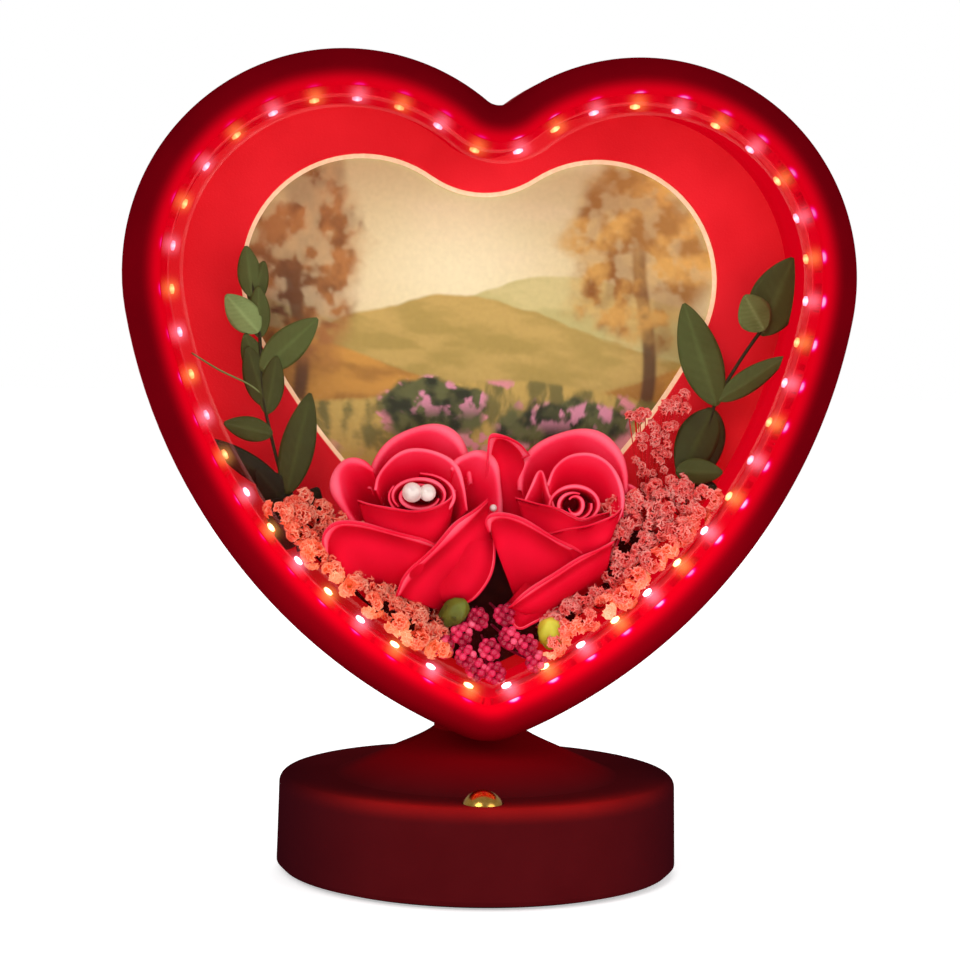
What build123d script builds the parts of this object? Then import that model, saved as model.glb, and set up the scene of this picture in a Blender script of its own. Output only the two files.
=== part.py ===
from build123d import *
import math
import os

# Driving dimensions in millimetres: front is -Y, up is +Z, the floor is Z = 0

# Heart outline, drawn about the level of its lobe centres
heart_half_width = 100.0
lobe_radius = 60.0
flank_radius = 153.0
tip_radius = 18.0
notch_radius = 4.5
tip_drop = 126.4

# Opening of the red mat: how far it lies inside the heart, and its own rounds
mat_side_margin = 32.4
mat_lobe_margin = 25.8
mat_tip_margin = 41.2
mat_level_rise = 0.2
mat_flank_radius = 190.0
mat_tip_radius = 5.0
mat_notch_radius = 26.0

# Depth stations of the heart body
front_y = -31.0
seam_y = -8.0
mat_y = 6.0
back_y = 22.0

# Walls and insets of the heart body, measured inwards from its outline
shell_wall = 2.4
seam_step = 0.5
bezel_wall = 2.2
bezel_front_round = 7.0
bezel_lip_inset = 10.3
bezel_lip_round = 2.5
back_round = 5.0
light_wall = 2.4
window_ledge = 2.0
window_sheet = 2.0
window_rise = 2.0
window_sunk = 3.5
window_band = 5.0
fit_gap = 0.2
locating_lip = 0.8
locating_depth = 3.0

# Light strip
strip_sheet = 0.35
strip_width = 6.0
strip_behind_window = 2.0
strip_break = 5.0
led_count = 46
led_along = 3.4
led_deep = 2.8
led_proud = 1.4
led_seat = 0.06

# Cards behind the light wall
mat_sheet = 1.5
liner_sheet = 0.8
liner_show = 1.2
print_sheet = 0.3
print_margin = 5.0
board_sheet = 2.5
card_inset = 10.2

# Rear door, its hinge and its magnets
door_inset = 11.0
door_ledge = 3.5
door_sheet = 2.5
ledge_sheet = 2.0
door_gap = 0.35
hinge_pin_radius = 1.0
hinge_fit = 0.05
hinge_barrel = 2.5
hinge_below_tip = 2.8
knuckle_width = 8.0
knuckle_gap = 0.3
lug_width = 4.0
magnet_radius = 3.0
magnet_sheet = 1.5
magnet_gap = 0.2
pad_radius = 9.0

# Heart screws
screw_inset = 6.3
boss_radius = 2.5
screw_shank = 1.2
screw_play = 0.05
screw_hole = 1.5
screw_head = 2.6
screw_head_high = 1.6
head_recess = 3.0
head_recess_deep = 2.0
screw_long = 12.0
screw_spots = [0.16, 0.46, 0.78]

# Base turned about the upright axis
base_radius = 56.0
base_draft = 0.5
base_low = 1.0
base_high = 26.8
base_edge_round = 2.6
base_foot_round = 1.5
base_wall = 2.5
flare_radius = 39.5
flare_mid_radius = 21.8
flare_mid_rise = 7.8
neck_rise = 12.3
neck_radius = 12.3
neck_shoulder_rise = 0.7
neck_overlap = 5.6
neck_roof_sheet = 6.4
saddle_gap = 0.12

# Threaded tube that joins heart and base
tube_radius = 3.5
tube_bore = 2.3
tube_hole = 3.7
tube_end = 2.3
nut_flats = 10.0
nut_high = 3.2
pad_sheet = 3.8

# Base plate, battery bay and foot ring
foot_high = 1.5
foot_margin = 4.8
foot_wide = 5.5
plate_sheet = 3.0
plate_gap = 0.3
plate_screw_margin = 9.8
plate_screw_turns = [12.0, 168.0, 232.0, 308.0]
plate_boss = 3.5
cell_radius = 7.25
cell_long = 50.5
cell_pitch = 15.0
cell_count = 3
bay_back = 12.0
bay_half_long = 28.0
bay_play = 0.75
bay_wall = 1.6
cell_above_door = 0.55
bay_door_sheet = 1.8
bay_door_gap = 0.3
bay_hinge_radius = 1.5
bay_pin_radius = 1.1
bay_pin_long = 1.4
contact_sheet = 0.4
contact_bite = 0.05

# Push button on the front of the base
button_turn = 5.0
button_margin = 9.2
button_radius = 5.4
button_dome = 3.6
button_skirt = 1.3
button_well = 3.0
button_well_gap = 0.15
button_stem = 2.0
stem_fit = 0.06
stem_below_top = 6.8
button_stroke = 1.5
guide_radius = 6.8
guide_below_top = 5.4
clip_radius = 3.2
clip_sheet = 0.6
clip_gap = 0.2
switch_side = 8.0
switch_high = 5.6
plunger_radius = 1.9
plunger_fit = 0.05
plunger_deep = 4.4
circuit_sheet = 1.6
circuit_low = 8.0
circuit_half_wide = 11.0
circuit_margin = 4.5
circuit_back = -19.0
post_radius = 2.2
ballast_sheet = 3.0
ballast_margin = 14.8
ballast_back = -15.0

# Wires
wire_radius = 0.5
wire_half_gap = 1.1
wire_bend = 5.0
wire_turn_small = 1.5

# Flowers
foam_rise = 55.9
foam_socket = 10.5
root_gap = 0.5
foam_inset = 17.0
foam_front = -3.0
rose_left_share = (-0.234, 0.478)
rose_right_share = (0.262, 0.470)
rose_root_y = 1.0
rose_tilt = 18.0
petal_sheet = 1.1
pearl_radius = 2.75
pearl_small_radius = 1.1
pearl_small_reach = 22.0
floret_radius = 1.7
floret_shares = (0.55, 0.8, 1.0)
twig_inset = 19.3
stalk_radius = 0.45
leaf_sheet = 0.6
sprig_y = -2.0

# Sizes that follow from the driving ones
tip_z = base_high + neck_rise
lobe_height = tip_z + tip_drop
heart_shape = (heart_half_width, lobe_radius, flank_radius, tip_radius, notch_radius, tip_drop, lobe_height)
mat_shape = (
    heart_half_width - mat_side_margin,
    lobe_radius - mat_lobe_margin,
    mat_flank_radius,
    mat_tip_radius,
    mat_notch_radius,
    tip_drop - mat_tip_margin,
    lobe_height + mat_level_rise,
)
flare_mid_high = base_high + flare_mid_rise
neck_shoulder = tip_z + neck_shoulder_rise
neck_high = tip_z + neck_overlap
neck_roof = tip_z - neck_roof_sheet
pad_high = tip_z + pad_sheet
tube_low = neck_roof - nut_high - tube_end
tube_high = pad_high + nut_high + 0.2
foot_outer = base_radius - foot_margin
foot_inner = foot_outer - foot_wide
plate_screw_radius = base_radius - plate_screw_margin
button_reach = base_radius - button_margin
stem_low = base_high - stem_below_top
guide_low = base_high - guide_below_top
circuit_front = circuit_margin - base_radius
ballast_radius = base_radius - ballast_margin
foam_top = tip_z + foam_rise
light_wall_inset = bezel_lip_inset + window_ledge
window_y = front_y + window_sunk + window_sheet
strip_front_y = window_y + strip_behind_window
ledge_y = back_y - door_sheet
rear_wall_y = ledge_y - ledge_sheet
liner_y = mat_y + mat_sheet
print_y = liner_y + liner_sheet
board_y = print_y + print_sheet
board_back_y = board_y + board_sheet
hinge_y = back_y + hinge_barrel + knuckle_gap
hinge_z = tip_z + door_inset - hinge_below_tip
plate_top = foot_high + plate_sheet
plate_radius = base_radius - base_wall - plate_gap
bay_half_wide = cell_pitch * (cell_count - 1) / 2 + cell_radius + bay_play
bay_front_y = bay_back - bay_half_wide
bay_rear_y = bay_back + bay_half_wide
bay_hinge_y = bay_rear_y - bay_hinge_radius - bay_door_gap
bay_hinge_z = foot_high + bay_hinge_radius
cell_z = foot_high + bay_door_sheet + cell_above_door + cell_radius
bay_roof = cell_z + cell_radius + cell_above_door
circuit_top = circuit_low + circuit_sheet
switch_top = circuit_top + switch_high
button_x = -button_reach * math.sin(math.radians(button_turn))
button_y = -button_reach * math.cos(math.radians(button_turn))


def circle_point(centre, radius, angle):
    return (centre[0] + radius * math.cos(angle), centre[1] + radius * math.sin(angle))


def half_arcs(shape, inset):
    # Right half of a heart as tangent arcs from notch to tip: centre, radius, first and last angle
    half_width, lobe, flank, tip, notch, drop, level = shape
    spread = half_width - lobe
    lobe_c = (spread, 0.0)
    tip_c = (0.0, tip - drop)
    notch_c = (0.0, math.sqrt((lobe + notch) ** 2 - spread**2))
    gap = math.dist(lobe_c, tip_c)
    to_lobe = flank - lobe
    to_tip = flank - tip
    along = (to_lobe**2 - to_tip**2 + gap**2) / (2 * gap)
    across = math.sqrt(to_lobe**2 - along**2)
    ux = (tip_c[0] - lobe_c[0]) / gap
    uz = (tip_c[1] - lobe_c[1]) / gap
    flank_c = (lobe_c[0] + along * ux + across * uz, lobe_c[1] + along * uz - across * ux)
    at_notch = math.atan2(notch_c[1], -spread)
    at_flank = math.atan2(lobe_c[1] - flank_c[1], lobe_c[0] - flank_c[0])
    at_tip = math.atan2(tip_c[1] - flank_c[1], tip_c[0] - flank_c[0])
    return [
        (notch_c, notch + inset, -math.pi / 2, at_notch - math.pi),
        (lobe_c, lobe - inset, at_notch, at_flank),
        (flank_c, flank - inset, at_flank, at_tip),
        (tip_c, tip - inset, at_tip, -math.pi / 2),
    ]


def heart_face(shape, inset):
    edges = []
    for centre, radius, first, last in half_arcs(shape, inset):
        points = [circle_point(centre, radius, a) for a in (first, (first + last) / 2, last)]
        edges.append(ThreePointArc(*points))
        edges.append(ThreePointArc(*[(-x, z) for x, z in points]))
    return make_face(edges)


def heart_slab(shape, inset, y_from, y_to):
    level = shape[-1]
    side = Plane((0, y_from, level), x_dir=(1, 0, 0), z_dir=(0, -1, 0))
    sense = 1 if y_to > y_from else -1
    return extrude(side * heart_face(shape, inset), amount=abs(y_to - y_from), dir=(0, sense, 0))


def heart_ring(outer, inner, y_from, y_to):
    return heart_slab(heart_shape, outer, y_from, y_to) - heart_slab(heart_shape, inner, y_from, y_to)


def heart_spot(inset, part):
    # Point and outward angle at a share of the way from the notch to the tip on the right half
    arcs = half_arcs(heart_shape, inset)
    left = part * sum(radius * abs(last - first) for _, radius, first, last in arcs)
    for number, (centre, radius, first, last) in enumerate(arcs):
        length = radius * abs(last - first)
        if left <= length or number == len(arcs) - 1:
            angle = first + (last - first) * min(left / length, 1.0)
            x, z = circle_point(centre, radius, angle)
            outward = angle + math.pi if number == 0 else angle
            return x, z + lobe_height, outward
        left -= length


def within(across, up):
    # Spot in the heart, by shares of the half width inside the light wall and of the tip to lobe height
    return (across * (heart_half_width - light_wall_inset), tip_z + up * tip_drop)


def along_y(x, z, radius, y_from, y_to):
    spot = Plane((x, min(y_from, y_to), z), x_dir=(1, 0, 0), z_dir=(0, 1, 0))
    return extrude(spot * Circle(radius), amount=abs(y_to - y_from))


def upright(x, y, radius, z_from, z_to):
    return extrude(Plane((x, y, min(z_from, z_to))) * Circle(radius), amount=abs(z_to - z_from))


def block(x0, x1, y0, y1, z0, z1):
    middle = Pos((x0 + x1) / 2, (y0 + y1) / 2, (z0 + z1) / 2)
    return middle * Box(x1 - x0, y1 - y0, z1 - z0)


def rod(start, end, radius):
    way = Vector(*end) - Vector(*start)
    return extrude(Plane(origin=start, z_dir=way) * Circle(radius), amount=way.length)


def ball(at, radius):
    return Pos(*at) * Sphere(radius)


def edges_at_y(shape, level):
    return [e for e in shape.edges() if abs(e.center().Y - level) < 1e-4 and e.bounding_box().size.Y < 1e-4]


def screw_places():
    places = []
    for part in screw_spots:
        x, z, _ = heart_spot(screw_inset, part)
        places += [(x, z), (-x, z)]
    return places


def front_bezel():
    body = heart_slab(heart_shape, seam_step, seam_y, front_y)
    body = fillet(edges_at_y(body, front_y), bezel_front_round)
    body -= heart_slab(heart_shape, light_wall_inset, seam_y, front_y)
    body -= heart_slab(heart_shape, bezel_lip_inset, window_y, front_y)
    front = body.faces().sort_by(Axis.Y)[0]
    body = fillet(front.inner_wires()[0].edges(), bezel_lip_round)
    hollow_y = front_y + bezel_wall + 0.4
    hollow = heart_slab(heart_shape, seam_step + bezel_wall, seam_y, hollow_y)
    hollow = fillet(edges_at_y(hollow, hollow_y), bezel_front_round - bezel_wall)
    hollow -= heart_slab(heart_shape, bezel_lip_inset - bezel_wall, seam_y, hollow_y)
    body -= hollow
    wall_outer = light_wall_inset - light_wall
    body -= heart_ring(seam_step + bezel_wall, wall_outer, seam_y, window_y + bezel_wall)
    body += heart_ring(wall_outer, light_wall_inset, seam_y - 1.0, mat_y)
    for x, z in screw_places():
        body += along_y(x, z, boss_radius, hollow_y - 0.5, rear_wall_y)
    for x, z in screw_places():
        body -= along_y(x, z, screw_shank + screw_play, rear_wall_y - screw_long, rear_wall_y)
    for x in (-wire_half_gap, wire_half_gap):
        body -= upright(x, strip_front_y + strip_width / 2, wire_radius + 0.3, tip_z + 5.0, tip_z + 16.0)
    return body


def rear_shell():
    body = heart_slab(heart_shape, 0.0, seam_y, back_y)
    body = fillet(edges_at_y(body, back_y), back_round)
    body -= heart_slab(heart_shape, shell_wall, seam_y, rear_wall_y)
    body -= heart_slab(heart_shape, door_inset, ledge_y, back_y)
    body -= heart_slab(heart_shape, door_inset + door_ledge, rear_wall_y, ledge_y)
    lip_outer = seam_step + bezel_wall + fit_gap
    body += heart_ring(shell_wall - 0.2, lip_outer + locating_lip, seam_y, seam_y + locating_depth)
    body += heart_ring(lip_outer, lip_outer + locating_lip, seam_y - locating_depth, seam_y)
    seat = block(-14, 14, seam_y, seam_y + 22.0, tip_z - 1.0, pad_high)
    body += seat & heart_slab(heart_shape, 1.0, seam_y, rear_wall_y)
    body -= upright(0, 0, tube_hole, tip_z - 2.0, pad_high + 2.0)
    for x, z in screw_places():
        body -= along_y(x, z, screw_hole, rear_wall_y - 1.0, back_y)
        body -= along_y(x, z, head_recess, back_y - head_recess_deep, back_y + 1.0)
    for side in (-1, 1):
        inner = knuckle_width / 2 + knuckle_gap
        x0, x1 = sorted((side * inner, side * (inner + lug_width)))
        body += block(x0, x1, back_y - 1.0, hinge_y, hinge_z - hinge_barrel, hinge_z + hinge_barrel)
        body += barrel(x0, x1, hinge_barrel)
        body -= barrel(x0 - 0.1, x1 + 0.1, hinge_pin_radius + hinge_fit)
    for x, z in magnet_places():
        body -= along_y(x, z, magnet_radius, ledge_y - magnet_sheet, ledge_y)
    return body


def barrel(x0, x1, radius):
    end = Plane((x0, hinge_y, hinge_z), x_dir=(0, 1, 0), z_dir=(1, 0, 0))
    return extrude(end * Circle(radius), amount=x1 - x0)


def magnet_places():
    # One pair on the ledge at the crown of each lobe
    level = lobe_height + lobe_radius - door_inset - door_ledge / 2 - magnet_radius + 1.0
    spread = heart_half_width - lobe_radius
    return [(-spread, level), (spread, level)]


def rear_door():
    body = heart_slab(heart_shape, door_inset + door_gap, ledge_y, back_y)
    half = knuckle_width / 2
    root = tip_z + door_inset + 2.0
    body += block(-half, half, back_y - 0.5, hinge_y, root, root + 5.0)
    body += block(-half, half, back_y + knuckle_gap, hinge_y, hinge_z, root + 5.0)
    body += barrel(-half, half, hinge_barrel)
    body -= barrel(-half - 0.1, half + 0.1, hinge_pin_radius + hinge_fit)
    grip_z = lobe_height + lobe_radius * 0.42
    grip = Pos(0, back_y + 4.0, grip_z) * Sphere(6.0)
    body -= grip
    for x, z in magnet_places():
        body -= along_y(x, z, magnet_radius, ledge_y, ledge_y + magnet_sheet)
    return body


def hinge_pin():
    reach = knuckle_width / 2 + knuckle_gap + lug_width
    return barrel(-reach, reach, hinge_pin_radius)


def door_magnets():
    near, far = ledge_y + magnet_gap / 2, ledge_y + magnet_sheet
    return [along_y(x, z, magnet_radius, near, far) for x, z in magnet_places()]


def frame_magnets():
    near, far = ledge_y - magnet_sheet, ledge_y - magnet_gap / 2
    return [along_y(x, z, magnet_radius, near, far) for x, z in magnet_places()]


def door_pads():
    spread = heart_half_width - lobe_radius
    spots = [(-spread, lobe_height), (spread, lobe_height)]
    spots += [(0, lobe_height - spread), (0, lobe_height - 2 * spread)]
    return [along_y(x, z, pad_radius, board_back_y + fit_gap, ledge_y) for x, z in spots]


def heart_screws():
    made = []
    head_y = back_y - head_recess_deep
    for x, z in screw_places():
        head = along_y(x, z, screw_head, head_y, head_y + screw_head_high)
        head = fillet(edges_at_y(head, head_y + screw_head_high), 0.7)
        head -= Pos(x, head_y + screw_head_high, z) * Box(3.2, 1.2, 0.7)
        head -= Pos(x, head_y + screw_head_high, z) * Box(0.7, 1.2, 3.2)
        made.append(head + along_y(x, z, screw_shank, rear_wall_y - screw_long + 2.0, head_y))
    return made


def front_window():
    edge = bezel_lip_inset + fit_gap
    rise = edge + window_band
    face_y = window_y - window_sheet - window_rise
    body = heart_slab(heart_shape, edge, window_y, window_y - window_sheet)
    dome = heart_slab(heart_shape, rise, window_y, face_y)
    dome = fillet(edges_at_y(dome, face_y), 1.0)
    body += dome
    return body - heart_slab(heart_shape, rise + window_sheet, window_y, face_y + window_sheet)


def led_strip():
    strip_rear_y = strip_front_y + strip_width
    body = heart_ring(light_wall_inset, light_wall_inset + strip_sheet, strip_front_y, strip_rear_y)
    half = strip_break / 2
    return body - block(-half, half, front_y, mat_y, tip_z, tip_z + light_wall_inset + 4.0)


def leds(first):
    # Every other light of the row, on the inner side of the strip
    made = []
    face = light_wall_inset + strip_sheet + led_seat
    middle_y = strip_front_y + strip_width / 2
    per_side = led_count // 2
    for number in range(first, led_count, 2):
        side = 1 if number < per_side else -1
        step = number if side > 0 else led_count - 1 - number
        x, z, outward = heart_spot(face, (step + 0.5) / per_side)
        light = Pos(-led_proud / 2, 0, 0) * Box(led_proud, led_deep, led_along)
        light = fillet(light.edges().filter_by(Axis.Y).sort_by(Axis.X)[:2], 0.4)
        turn = -math.degrees(outward)
        placed = Pos(x, middle_y, z) * Rot(0, turn, 0) * light
        made.append(placed if side > 0 else mirror(placed, Plane.YZ))
    return made


def mat_card():
    body = heart_slab(heart_shape, card_inset, mat_y, liner_y)
    return body - heart_slab(mat_shape, 0.0, mat_y, liner_y)


def mat_liner():
    body = heart_slab(heart_shape, card_inset, liner_y, print_y)
    return body - heart_slab(mat_shape, liner_show, liner_y, print_y)


def photo_print():
    return heart_slab(mat_shape, -print_margin, print_y, board_y)


def back_board():
    return heart_slab(heart_shape, card_inset, board_y, board_back_y)


def flower_foam():
    body = heart_slab(heart_shape, foam_inset, foam_front, mat_y - fit_gap)
    body &= block(-heart_half_width, heart_half_width, front_y, back_y, tip_z, foam_top)
    for x, z in (within(*rose_left_share), within(*rose_right_share)):
        body -= along_y(x, z, foam_socket, foam_front - 1.0, mat_y)
    return body


def petal(root, rim, low, high, turn, spread):
    # Part of a turned cup wall, from a narrow root to an open rim
    bulge = root + (rim - root) * 0.72
    middle = low + (high - low) * 0.42
    outer = ThreePointArc((root, low), (bulge, middle), (rim, high))
    inner_low = (root - petal_sheet, low + 0.6)
    inner_high = (rim - petal_sheet, high)
    inner = ThreePointArc(inner_low, (bulge - petal_sheet, middle + 0.6), inner_high)
    wall = make_face([outer, inner, Line(outer @ 1, inner @ 1), Line(outer @ 0, inner @ 0)])
    return Rot(0, 0, turn) * revolve(Plane.XZ * wall, Axis.Z, spread)


def rose(at, lean):
    bloom = Pos(0, 0, 2.0) * Cone(6.0, 8.5, 6.0) + Pos(0, 0, -2.5) * Cylinder(1.5, 4.0)
    rings = [(7.5, 22.0, 3.0, 15.0, 5, 66.0), (6.5, 16.5, 4.0, 20.0, 4, 82.0)]
    rings += [(5.5, 10.5, 4.0, 23.0, 3, 108.0)]
    for number, (root, rim, low, high, count, spread) in enumerate(rings):
        for k in range(count):
            bloom += petal(root, rim, low, high, 360.0 * k / count + 24.0 * number, spread)
    bloom += Pos(0, 0, 13.5) * Cone(4.0, 5.0, 19.0)
    x, z = at
    return Pos(x, rose_root_y, z) * Rot(0, 0, lean) * Rot(90 - rose_tilt, 0, 0) * bloom


def pearls():
    x, z = within(*rose_left_share)
    y = rose_root_y - 24.85
    main = ball((x, y, z + 7.5), pearl_radius)
    second = ball((x + 2 * pearl_radius + 0.2, y, z + 7.3), pearl_radius - 0.5)
    tiny = ball((x + pearl_small_reach, -15.6, z + 3.0), pearl_small_radius)
    return [main, second, tiny]


def leaf(base, tip, width, y):
    # Lens between two arcs from stalk to point
    bx, bz = base
    tx, tz = tip
    length = math.dist(base, tip)
    nx, nz = -(tz - bz) / length * width / 2, (tx - bx) / length * width / 2
    mx, mz = bx + (tx - bx) * 0.45, bz + (tz - bz) * 0.45
    edges = [ThreePointArc(base, (mx + s * nx, mz + s * nz), tip) for s in (-1, 1)]
    flat = Plane((0, y + leaf_sheet / 2, 0), x_dir=(1, 0, 0), z_dir=(0, -1, 0)) * make_face(edges)
    return extrude(flat, amount=leaf_sheet)


def sprig(stem, leaves):
    # Bent stalk with leaves that overlap it at their bases, all placed by shares of the heart
    body = None
    stem = [within(*spot) for spot in stem]
    for (ax, az), (bx, bz) in zip(stem, stem[1:]):
        end = (bx, sprig_y, bz)
        piece = rod((ax, sprig_y, az), end, stalk_radius) + ball(end, stalk_radius * 1.2)
        body = piece if body is None else body + piece
    for number, (base, tip, width) in enumerate(leaves):
        body += leaf(within(*base), within(*tip), width, sprig_y + 0.2 * (number % 3 - 1))
    return body


def leaf_sprig_left():
    stem = [(-0.593, 0.443), (-0.639, 0.569), (-0.696, 0.712), (-0.707, 0.855), (-0.741, 0.950)]
    leaves = [
        ((-0.741, 0.942), (-0.758, 1.053), 6.5),
        ((-0.724, 0.886), (-0.810, 0.930), 7.5),
        ((-0.707, 0.815), (-0.530, 0.906), 8.0),
        ((-0.707, 0.799), (-0.753, 0.688), 5.0),
        ((-0.696, 0.704), (-0.821, 0.661), 4.6),
        ((-0.650, 0.593), (-0.559, 0.736), 8.0),
        ((-0.639, 0.569), (-0.832, 0.641), 5.0),
        ((-0.627, 0.538), (-0.690, 0.470), 5.0),
    ]
    return sprig(stem, leaves)


def leaf_sprig_right():
    stem = [(0.661, 0.522), (0.707, 0.617), (0.753, 0.736), (0.832, 0.815), (0.895, 0.878)]
    leaves = [
        ((0.753, 0.736), (0.673, 0.942), 9.0),
        ((0.889, 0.871), (0.964, 1.037), 11.0),
        ((0.878, 0.863), (0.832, 0.950), 8.0),
        ((0.764, 0.744), (0.918, 0.811), 6.0),
        ((0.713, 0.633), (0.758, 0.728), 7.0),
        ((0.690, 0.577), (0.599, 0.665), 8.0),
        ((0.678, 0.554), (0.770, 0.577), 5.0),
    ]
    return sprig(stem, leaves)


def twig(root, head):
    # One stalk with three small blossoms along it
    long = math.dist(root, head)
    body = Pos(0, 0, long / 2) * Cylinder(stalk_radius, long)
    for share in floret_shares:
        body += Pos(0, 0, long * share) * Sphere(floret_radius)
    return Plane(origin=root, z_dir=tuple(b - a for a, b in zip(root, head))) * body


def filler(side, first, last, count):
    # Row of twigs along one lower flank, rooted in the foam
    made = []
    for k in range(count):
        part = first + (last - first) * k / (count - 1)
        x, z, _ = heart_spot(twig_inset, part)
        y = -13.0 + 4.0 * (k % 3 - 1)
        root = (side * (x - 5.5), foam_front - root_gap, min(z - 2.0, foam_top - 3.0 - 2.0 * k))
        made.append(twig(root, (side * x, y, z)))
    return made


def rounded_path(corners):
    # Straight runs joined by quarter arcs, each corner with its own radius
    spots = [Vector(*spot) for spot, _ in corners]
    edges = []
    here = spots[0]
    for number in range(1, len(corners) - 1):
        radius = corners[number][1]
        into = (spots[number] - spots[number - 1]).normalized()
        away = (spots[number + 1] - spots[number]).normalized()
        start = spots[number] - into * radius
        end = spots[number] + away * radius
        middle = spots[number] + (away - into) * radius * (1 - math.sqrt(0.5))
        edges += [Line(here, start), ThreePointArc(start, middle, end)]
        here = end
    return Wire(edges + [Line(here, spots[-1])])


def lead_wires():
    # Pair from the circuit board through the neck tube to the two ends of the light strip
    made = []
    strip_mid = strip_front_y + strip_width / 2
    board_end = circuit_back - 4.0
    run_z = base_high - base_wall
    top = tube_high + wire_radius + 0.5
    for x in (-wire_half_gap, wire_half_gap):
        corners = [
            ((x, board_end, circuit_top), 0.0),
            ((x, board_end, run_z), wire_bend),
            ((x, 0.0, run_z), wire_bend),
            ((x, 0.0, top), wire_turn_small),
            ((x, strip_mid, top), wire_turn_small),
            ((x, strip_mid, tip_z + light_wall_inset - fit_gap), 0.0),
        ]
        path = rounded_path(corners)
        made.append(sweep(Plane(origin=path @ 0, z_dir=path % 0) * Circle(wire_radius), path))
    return made


def hex_nut(z_from):
    outline = Plane((0, 0, z_from)) * RegularPolygon(nut_flats / 2, 6, major_radius=False)
    body = extrude(outline, amount=nut_high)
    return body - upright(0, 0, tube_radius + 0.05, z_from - 1, z_from + nut_high + 1)


def neck_tube():
    body = upright(0, 0, tube_radius, tube_low, tube_high)
    return body - upright(0, 0, tube_bore, tube_low - 1, tube_high + 1)


def turned(points_and_edges):
    return revolve(Plane.XZ * make_face(points_and_edges), Axis.Z, 360)


def base_outer():
    top_radius = base_radius - base_draft
    shoulder = (top_radius - base_edge_round, base_high)
    side = (top_radius, base_high - base_edge_round)
    bend = base_edge_round * (1 - math.sqrt(0.5))
    edge = ThreePointArc(side, (top_radius - bend, base_high - bend), shoulder)
    foot = (flare_radius, base_high)
    neck = (neck_radius, neck_shoulder)
    flare = Spline(foot, (flare_mid_radius, flare_mid_high), neck, tangents=[(-1, 0.4), (-1, 0.8)])
    low = (base_radius, base_low + base_foot_round)
    rim = (base_radius - base_foot_round, base_low)
    lines = [
        Line((0, base_low), rim),
        Line(rim, low),
        Line(low, side),
        edge,
        Line(shoulder, foot),
        flare,
        Line(neck, (neck_radius, neck_high)),
        Line((neck_radius, neck_high), (0, neck_high)),
        Line((0, neck_high), (0, base_low)),
    ]
    return turned(lines)


def base_hollow():
    inner = base_radius - base_wall
    top_radius = inner - base_draft
    roof = base_high - base_wall
    lines = [
        Line((0, base_low - 1), (inner, base_low - 1)),
        Line((inner, base_low - 1), (top_radius, roof)),
        Line((top_radius, roof), (flare_radius - 1.0, roof)),
        Line((flare_radius - 1.0, roof), (flare_mid_radius, flare_mid_high - base_wall - 1.0)),
        Line((flare_mid_radius, flare_mid_high - base_wall - 1.0), (neck_radius, neck_roof)),
        Line((neck_radius, neck_roof), (0, neck_roof)),
        Line((0, neck_roof), (0, base_low - 1)),
    ]
    return turned(lines)


def plate_screw_places():
    turns = [math.radians(turn) for turn in plate_screw_turns]
    return [circle_point((0.0, 0.0), plate_screw_radius, turn) for turn in turns]


def base_shell():
    outer = base_outer()
    body = outer - base_hollow()
    body += upright(button_x, button_y, guide_radius, guide_low, base_high - 1.0)
    for x, y in plate_screw_places():
        body += upright(x, y, plate_boss, plate_top, base_high - 1.0) & outer
    for x, y in plate_screw_places():
        body -= upright(x, y, screw_shank + screw_play, plate_top - 1.0, plate_top + screw_long)
    body -= heart_slab(heart_shape, -saddle_gap, front_y, back_y)
    body -= upright(0, 0, tube_hole, neck_roof - 1.0, neck_high + 1.0)
    well_radius = button_radius + button_well_gap
    body -= upright(button_x, button_y, well_radius, base_high - button_well, base_high + 1.0)
    return body - upright(button_x, button_y, button_stem + stem_fit, guide_low - 1.0, base_high)


def base_plate():
    body = upright(0, 0, plate_radius, foot_high, plate_top)
    half = bay_half_long + bay_wall
    front, rear = bay_front_y - bay_wall, bay_rear_y + bay_wall
    body += block(-half, half, front, rear, foot_high, bay_roof + bay_wall)
    body -= block(-bay_half_long, bay_half_long, bay_front_y, bay_rear_y, foot_high - 1.0, bay_roof)
    for side in (-1, 1):
        body -= bay_pin(side, bay_pin_radius + 0.05, bay_pin_long + 0.2)
    for x, y in plate_screw_places():
        body -= upright(x, y, screw_hole, foot_high - 1.0, plate_top + 1.0)
        body -= upright(x, y, head_recess, foot_high - 1.0, foot_high + head_recess_deep - 0.3)
    for x, y in post_places():
        body += upright(x, y, post_radius, plate_top - 0.5, circuit_low)
    grip = Pos(0, bay_front_y, foot_high - 2.5) * Sphere(5.0)
    return body - (grip & block(-6, 6, bay_front_y - 6, bay_front_y, foot_high - 4.0, foot_high + 2.5))


def post_places():
    reach = circuit_half_wide - 3.0
    return [(-reach, circuit_back - 4.0), (reach, circuit_back - 4.0), (-reach, -38.0), (reach, -38.0)]


def bay_pin(side, radius, length):
    start = side * (bay_half_long - bay_door_gap - 0.5)
    spot = Plane((start, bay_hinge_y, bay_hinge_z), x_dir=(0, 1, 0), z_dir=(side, 0, 0))
    return extrude(spot * Circle(radius), amount=length + bay_door_gap + 0.5)


def battery_door():
    reach = bay_half_long - bay_door_gap
    top = foot_high + bay_door_sheet
    body = block(-reach, reach, bay_front_y + bay_door_gap, bay_hinge_y, foot_high, top)
    spot = Plane((-reach, bay_hinge_y, bay_hinge_z), x_dir=(0, 1, 0), z_dir=(1, 0, 0))
    body += extrude(spot * Circle(bay_hinge_radius), amount=2 * reach)
    for side in (-1, 1):
        body += bay_pin(side, bay_pin_radius, bay_pin_long)
    for k in range(3):
        y = bay_front_y + 4.0 + 2.5 * k
        body -= block(-8, 8, y, y + 1.0, foot_high - 1.0, foot_high + 0.5)
    return body


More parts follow.
